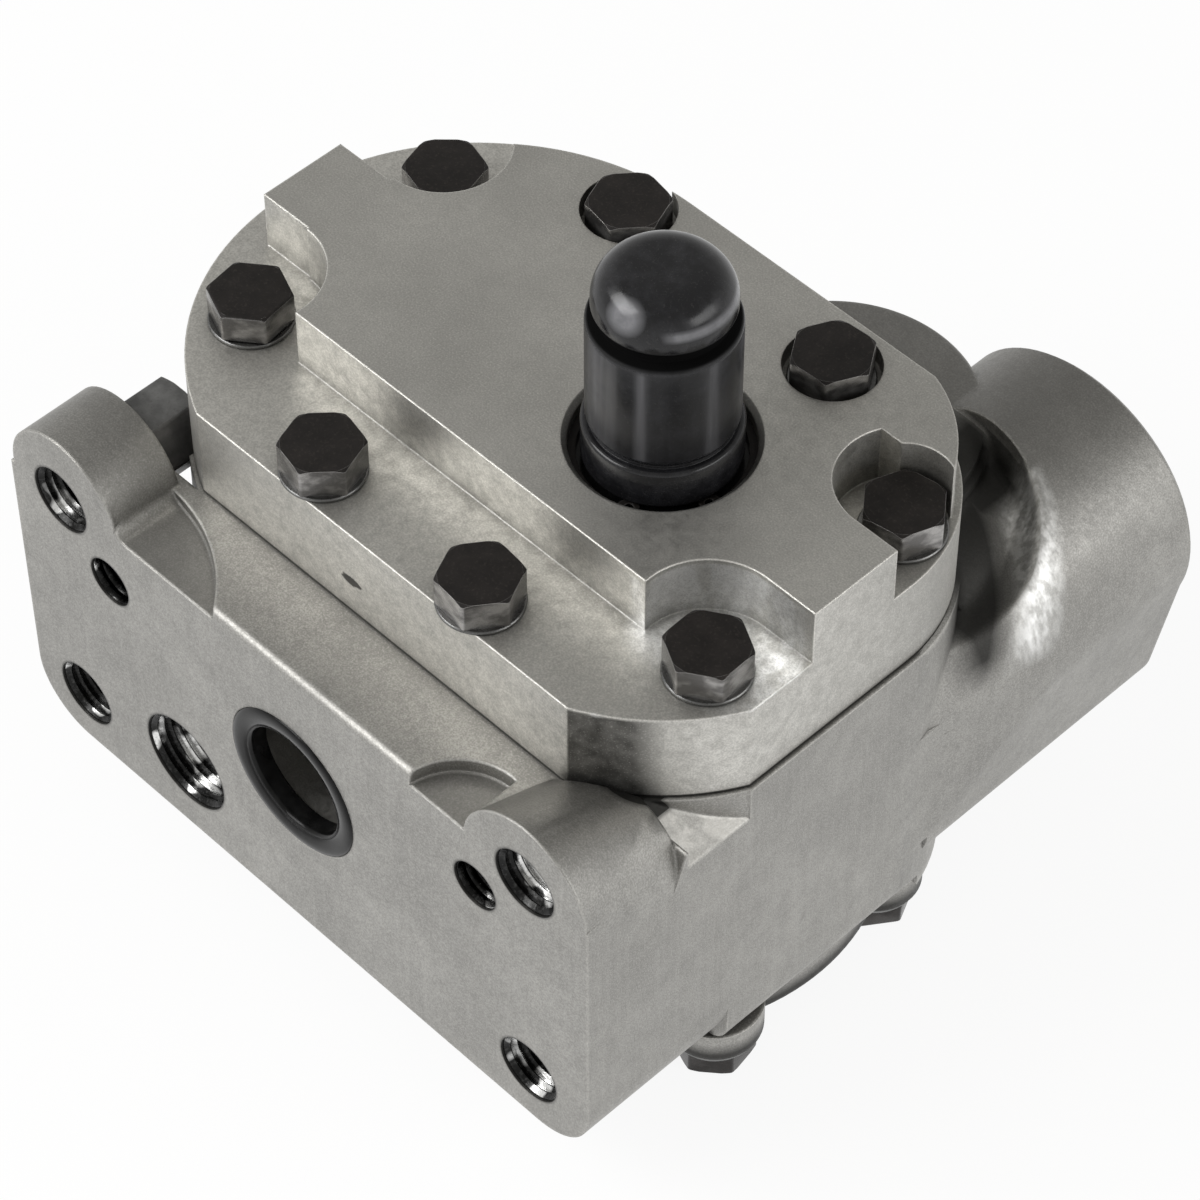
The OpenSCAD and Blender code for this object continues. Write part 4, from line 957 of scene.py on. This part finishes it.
def model_plug():
    """Hexagon screw plug behind the left lobe: round collar, head with a sloped end, shank in the hole."""
    low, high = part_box("hole_plug")
    clear_bench()
    bpy.ops.mesh.primitive_cylinder_add(
        vertices=6, radius=0.0084, depth=0.0118, location=(0, 0, 0.0070), rotation=(0, 0, math.radians(30)))
    head = settle("lobe_plug")
    pick_edges(head, lambda a, b: abs(a.z - b.z) > 0.01)
    bpy.ops.mesh.bevel(offset=0.0003, segments=2, affect="EDGES")
    close_edit()
    blank = turn_profile("plug_blank", [(0, 0), (0.0072, 0), (0.0086, 0.0009), (0.0086, 0.0121), (0.0074, 0.0128),
                                        (0, 0.0128)], 96)
    carve(head, blank, "INTERSECT")
    collar = turn_profile("plug_collar", [(0, -0.0028), (0.0044, -0.0028), (0.0048, -0.0024), (0.0048, 0.0),
                                          (0.0078, 0.0), (0.0080, 0.0003), (0.0080, 0.0011), (0, 0.0011)], 64)
    carve(head, collar, "UNION")
    smooth(head, 26.0)
    head.data.transform(Matrix.Translation(((low.x + high.x) / 2, high.y - 0.0104, (low.z + high.z) / 2))
                        @ Matrix.Rotation(-math.pi / 2, 4, "X"))
    return head


def model_outlet_seal():
    """Thick seal round the outlet, with a lip over the land and a short sleeve in the bore."""
    points = [(0.01486, -0.0022), (0.01486, -0.0001), (0.01472, 0.00018), (0.0144, 0.00036), (0.0138, 0.00046),
              (0.0132, 0.00048), (0.0126, 0.00042), (0.0120, 0.00028), (0.0114, 0.00014), (0.0110, -0.00004),
              (0.01076, -0.0003), (0.01062, -0.0008), (0.01062, -0.0034), (0.01074, -0.0038), (0.01116, -0.0038),
              (0.01116, 0.00003), (0.01194, 0.00003), (0.01194, -0.0022), (0.01486, -0.0022)]
    return turn_profile("outlet_seal", points, 112)


def model_washer(name, radius, bore, height):
    """Flat washer on z = 0 with broken edges."""
    rim = 0.00018
    points = [(bore, rim), (bore + rim, 0.0), (radius - rim, 0.0), (radius, rim),
              (radius, height - rim), (radius - rim, height), (bore + rim, height), (bore, height - rim),
              (bore, rim)]
    return turn_profile(name, points, 72)


def model_cap():
    """Protective cap: foot ring, groove, body, shoulder and domed crown."""
    low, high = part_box("shaft_cap")
    top, foot, inner = high.z, high.x, 0.0095
    body, dome, rim, shoulder = 0.0125, 0.0116, 0.0064, 0.0276
    points = [(inner, low.z), (foot - 0.0005, low.z), (foot, low.z + 0.0005), (foot, 0.0044)]
    points += arc(foot - 0.0008, 0.0044, 0.0008, 0, 90, 5)[1:]
    points += [(body - 0.0006, 0.0052), (body - 0.0007, 0.0058), (body - 0.0004, 0.0064), (body, 0.0071)]
    points += [(body, shoulder - 0.001)]
    points += arc(body - 0.0012, shoulder - 0.001, 0.0012, 0, 78, 6)[1:]
    points += [(dome - 0.0009, shoulder + 0.0006), (dome - 0.0011, shoulder + 0.0014),
               (dome - 0.0010, shoulder + 0.0022), (dome - 0.0003, shoulder + 0.0026)]
    points += arc(dome - 0.0004, shoulder + 0.0031, 0.0004, -60, 0, 3)
    points += [(dome, top - rim)]
    points += arc(dome - rim, top - rim, rim, 0, 86, 14)[1:]
    points += [(0.0036, top - 0.00002), (0.0018, top), (0.0, top)]
    return turn_profile("cap_shell", points, 128)


# Operators

class PUMP_OT_castings(bpy.types.Operator):
    """Give the housing and the rear cover their blasted cast finish"""

    bl_idname = "pump.castings"
    bl_label = "Castings"

    def execute(self, context):
        sizes, colours = context.scene.pump_sizes, context.scene.pump_colours
        material = blasted_casting("blasted_casting", tuple(colours.cast), sizes.cast_round)
        coat_node("rear_cover", material)
        shell = model_housing(sizes.lobe_fall)
        fit(shell, "housing", material)
        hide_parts("main_housing")
        return {"FINISHED"}


class PUMP_OT_milled_cover(bpy.types.Operator):
    """Give the front cover its milled finish"""

    bl_idname = "pump.milled_cover"
    bl_label = "Front cover"

    def execute(self, context):
        sizes, colours = context.scene.pump_sizes, context.scene.pump_colours
        coat_node("front_cover", milled_cover("milled_cover", tuple(colours.milled), sizes.edge_round))
        return {"FINISHED"}


class PUMP_OT_inner_parts(bpy.types.Operator):
    """Give gears, bearing blocks, bushes, pins and seals their finishes"""

    bl_idname = "pump.inner_parts"
    bl_label = "Gears, bearings and seals"

    def execute(self, context):
        sizes, colours = context.scene.pump_sizes, context.scene.pump_colours
        steel = turned_steel("gear_steel", tuple(colours.steel), sizes.edge_round)
        bronze = bearing_bronze("bush_bronze", tuple(colours.bronze), sizes.edge_round)
        rubber = seal_rubber("seal_rubber", tuple(colours.rubber), sizes.edge_round)
        block = milled_cover("bearing_block_aluminium", tuple(colours.milled), sizes.edge_round)
        for name in ("drive_gear", "driven_gear", "dowel_pins"):
            coat_node(name, steel)
        for name in ("front_bushes", "rear_bushes"):
            coat_node(name, bronze)
        for name in ("front_block_seals", "rear_block_seals", "cover_seal", "rear_seal", "shaft_seal"):
            coat_node(name, rubber)
        for name in ("front_bearing_block", "rear_bearing_block"):
            coat_node(name, block)
        coat_node("retaining_ring", black_oxide("ring_black", tuple(colours.blackened), sizes.edge_round, 0.1))
        plug = model_plug()
        fit(plug, "housing", black_oxide("plug_black", shade(tuple(colours.steel), 0.30), 0.0003))
        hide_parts("hole_plug")
        return {"FINISHED"}


class PUMP_OT_flange_bores(bpy.types.Operator):
    """Line the flange's bores with threads and fit the outlet's thick seal"""

    bl_idname = "pump.flange_bores"
    bl_label = "Flange bores and outlet seal"

    def execute(self, context):
        sizes, colours = context.scene.pump_sizes, context.scene.pump_colours
        oily = oily_thread("thread_steel", tuple(colours.steel), 0.0001)
        for count, (x, z, radius, depth) in enumerate(THREADED):
            tooth = sizes.thread_depth * (0.6 if radius < 0.005 else 1.0)
            lining = model_thread(f"flange_thread_{count + 1}", radius, depth, sizes.thread_pitch, tooth)
            lining.data.transform(Matrix.Translation((x, FLANGE_FACE, z)) @ Matrix.Rotation(-math.pi / 2, 4, "X"))
            fit(lining, "housing", oily)
        seal = model_outlet_seal()
        seal.data.transform(Matrix.Translation((PATTERN[0], FLANGE_FACE, PATTERN[1]))
                            @ Matrix.Rotation(math.pi / 2, 4, "X"))
        fit(seal, "housing", seal_rubber("outlet_rubber", tuple(colours.rubber), sizes.edge_round))
        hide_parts("outlet_ring")
        return {"FINISHED"}


class PUMP_OT_cover_fasteners(bpy.types.Operator):
    """Model the black bolts and washers of the front cover"""

    bl_idname = "pump.cover_fasteners"
    bl_label = "Cover bolts"

    def execute(self, context):
        sizes, colours = context.scene.pump_sizes, context.scene.pump_colours
        black = black_oxide("bolt_black", tuple(colours.blackened), SMALL_ROUND, 1.2)
        bright = turned_steel("cover_washer_steel", shade(tuple(colours.steel), 0.45), SMALL_ROUND)
        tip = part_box("cover_bolts")[0].z
        washer = model_washer("cover_washer_1", sizes.front_washer_radius, WASHER_BORE, sizes.washer_height)
        washers = copies(washer, "cover_washer", len(COVER_BOLTS))
        for number, (washer, (x, y, seat, turn)) in enumerate(zip(washers, COVER_BOLTS), 1):
            bolt = model_bolt(f"cover_bolt_{number}", sizes.head_radius, sizes.front_head_height,
                              seat + sizes.washer_height - tip - 2 * SHANK_OVERLAP)
            bolt.data.transform(place_at(x, y, seat + sizes.washer_height, turn))
            fit(bolt, "housing", black)
            washer.data.transform(place_at(x, y, seat, turn))
            fit(washer, "housing", bright)
            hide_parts("cover_bolts")
            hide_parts("cover_washers")
        return {"FINISHED"}


class PUMP_OT_rear_fasteners(bpy.types.Operator):
    """Model the bolts and bright washers of the rear cover"""

    bl_idname = "pump.rear_fasteners"
    bl_label = "Rear bolts"

    def execute(self, context):
        sizes, colours = context.scene.pump_sizes, context.scene.pump_colours
        black = black_oxide("rear_bolt_black", tuple(colours.blackened), SMALL_ROUND, 0.15)
        bright = turned_steel("washer_steel", shade(tuple(colours.steel), 0.6), SMALL_ROUND)
        seat = REAR_FACE - sizes.rear_washer_height
        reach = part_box("rear_bolts")[1].z - seat
        # the order of modelling counts: a bolt's edges are picked in the select mode of the piece before it
        for number, (x, y, turn) in enumerate(REAR_BOLTS, 1):
            bolt = model_bolt(f"rear_bolt_{number}", sizes.head_radius, sizes.head_height, reach - SHANK_OVERLAP)
            bolt.data.transform(place_at(x, y, seat, turn, flip=True))
            fit(bolt, "housing", black)
            washer = model_washer(f"rear_washer_{number}", sizes.washer_radius, WASHER_BORE,
                                  sizes.rear_washer_height)
            washer.data.transform(place_at(x, y, seat, turn))
            fit(washer, "housing", bright)
            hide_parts("rear_bolts")
            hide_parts("rear_washers")
        return {"FINISHED"}


class PUMP_OT_shaft_cap(bpy.types.Operator):
    """Model the glossy protective cap over the splined shaft end"""

    bl_idname = "pump.shaft_cap"
    bl_label = "Shaft cap"

    def execute(self, context):
        colours = context.scene.pump_colours
        cap = model_cap()
        fit(cap, "cap", cap_plastic("cap_plastic", tuple(colours.plastic), SMALL_ROUND))
        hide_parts("shaft_cap")
        return {"FINISHED"}


def grow(tree, kind, inputs=None, **settings):
    """Adds a node to a tree, sets it, and feeds its inputs with numbers or with other sockets."""
    made = tree.nodes.new(kind)
    for name, value in settings.items():
        setattr(made, name, value)
    for name, value in (inputs or {}).items():
        if isinstance(value, bpy.types.NodeSocket):
            tree.links.new(value, made.inputs[name])
        else:
            made.inputs[name].default_value = value
    return made


def studio_floor(height):
    """White floor that keeps the pump's shadow."""
    clear_bench()
    bpy.ops.mesh.primitive_plane_add(size=12.0, location=(0, 0, height))
    floor = settle("studio_floor")
    material = bpy.data.materials.new("studio_white")
    material.use_nodes = True
    tree = material.node_tree
    tree.nodes.clear()
    matte = grow(tree, "ShaderNodeBsdfDiffuse", {"Color": (0.93, 0.93, 0.93, 1)})
    glow = grow(tree, "ShaderNodeEmission", {"Color": (1, 1, 1, 1), "Strength": 1.0})
    path = grow(tree, "ShaderNodeLightPath").outputs
    seen = grow(tree, "ShaderNodeMath", {0: path["Is Camera Ray"], 1: path["Is Glossy Ray"]}, operation="MAXIMUM")
    also = grow(tree, "ShaderNodeMath", {0: seen.outputs[0], 1: path["Is Transmission Ray"]}, operation="MAXIMUM")
    share = grow(tree, "ShaderNodeMath", {0: also.outputs[0], 1: 0.90}, operation="MULTIPLY")
    mix = grow(tree, "ShaderNodeMixShader", {0: share.outputs[0], 1: matte.outputs[0], 2: glow.outputs[0]})
    grow(tree, "ShaderNodeOutputMaterial", {"Surface": mix.outputs[0]})
    floor.data.materials.append(material)


def studio_world():
    """White surround for the camera; a sky that is dimmer overhead for the metal."""
    world = bpy.data.worlds.new("studio")
    bpy.context.scene.world = world
    world.use_nodes = True
    tree = world.node_tree
    tree.nodes.clear()
    place = grow(tree, "ShaderNodeTexCoord").outputs["Generated"]
    height = grow(tree, "ShaderNodeSeparateXYZ", {0: place}).outputs["Z"]
    ramp = grow(tree, "ShaderNodeValToRGB", {0: height})
    stops = ((0.02, (0.85, 0.85, 0.84, 1)), (0.75, (0.42, 0.415, 0.40, 1)))
    for stop, (position, colour) in zip(ramp.color_ramp.elements, stops):
        stop.position, stop.color = position, colour
    sky = grow(tree, "ShaderNodeBackground", {"Color": ramp.outputs[0], "Strength": 1.0})
    white = grow(tree, "ShaderNodeBackground", {"Color": (1, 1, 1, 1), "Strength": 1.0})
    seen = grow(tree, "ShaderNodeLightPath").outputs["Is Camera Ray"]
    mix = grow(tree, "ShaderNodeMixShader", {0: seen, 1: sky.outputs[0], 2: white.outputs[0]})
    grow(tree, "ShaderNodeOutputWorld", {"Surface": mix.outputs[0]})


def soft_lamp(name, place, target, size, power):
    """Rectangular lamp at a place, turned to a target."""
    clear_bench()
    bpy.ops.object.light_add(type="AREA", location=place)
    lamp = bpy.context.object
    lamp.name = name
    lamp.data.shape = "RECTANGLE"
    lamp.data.size, lamp.data.size_y = size
    lamp.data.energy = power
    lamp.rotation_euler = (Vector(target) - Vector(place)).to_track_quat("-Z", "Y").to_euler()
    return lamp


class PUMP_OT_studio(bpy.types.Operator):
    """Set up the floor, the soft light and the camera"""

    bl_idname = "pump.studio"
    bl_label = "Studio"

    def execute(self, context):
        studio = context.scene.pump_studio
        studio_floor(CAD_BOX[0][2])
        studio_world()
        soft_lamp("key_lamp", (-0.55, -0.75, 0.75), (-0.02, 0, -0.04), (0.8, 0.6), studio.key_power)
        soft_lamp("side_lamp", (0.95, 0.30, 0.45), (0, 0, -0.05), (0.8, 0.4), studio.key_power * 0.35)
        clear_bench()
        bpy.ops.object.camera_add(location=CAMERA_PLACE)
        camera = bpy.context.object
        camera.name = "studio_camera"
        right = Vector(CAMERA_RIGHT).normalized()
        back = Vector(CAMERA_BACK).normalized()
        up = back.cross(right).normalized()
        right = up.cross(back)
        turned = Matrix((right, up, back)).transposed().to_4x4()
        camera.matrix_world = Matrix.Translation(CAMERA_PLACE) @ turned
        camera.data.sensor_width = 36.0
        camera.data.sensor_fit = "HORIZONTAL"
        camera.data.lens = studio.lens
        camera.data.clip_start = 0.02
        camera.data.clip_end = 60.0
        context.scene.camera = camera
        context.scene.view_settings.view_transform = "Standard"
        return {"FINISHED"}


class PUMP_PT_panel(bpy.types.Panel):
    """Steps that dress the pump"""

    bl_idname = "PUMP_PT_panel"
    bl_label = "Gear Pump"
    bl_space_type = "VIEW_3D"
    bl_region_type = "UI"
    bl_category = "Gear Pump"

    def draw(self, context):
        layout = self.layout
        for step in STEPS:
            layout.operator(step)
        for group in (context.scene.pump_sizes, context.scene.pump_colours, context.scene.pump_studio):
            for name in group.__annotations__:
                layout.prop(group, name)


STEPS = (
    "pump.castings",
    "pump.milled_cover",
    "pump.inner_parts",
    "pump.flange_bores",
    "pump.cover_fasteners",
    "pump.rear_fasteners",
    "pump.shaft_cap",
    "pump.studio",
)
CLASSES = (
    PumpSizes,
    PumpColours,
    PumpStudio,
    PUMP_OT_castings,
    PUMP_OT_milled_cover,
    PUMP_OT_inner_parts,
    PUMP_OT_flange_bores,
    PUMP_OT_cover_fasteners,
    PUMP_OT_rear_fasteners,
    PUMP_OT_shaft_cap,
    PUMP_OT_studio,
    PUMP_PT_panel,
)


def register():
    for kind in CLASSES:
        bpy.utils.register_class(kind)
    bpy.types.Scene.pump_sizes = PointerProperty(type=PumpSizes)
    bpy.types.Scene.pump_colours = PointerProperty(type=PumpColours)
    bpy.types.Scene.pump_studio = PointerProperty(type=PumpStudio)


def unregister():
    del bpy.types.Scene.pump_studio
    del bpy.types.Scene.pump_colours
    del bpy.types.Scene.pump_sizes
    for kind in reversed(CLASSES):
        bpy.utils.unregister_class(kind)


def main():
    register()
    for step in STEPS:
        group, name = step.split(".")
        getattr(getattr(bpy.ops, group), name)()
    clear_bench()


if __name__ == "__main__":
    main()
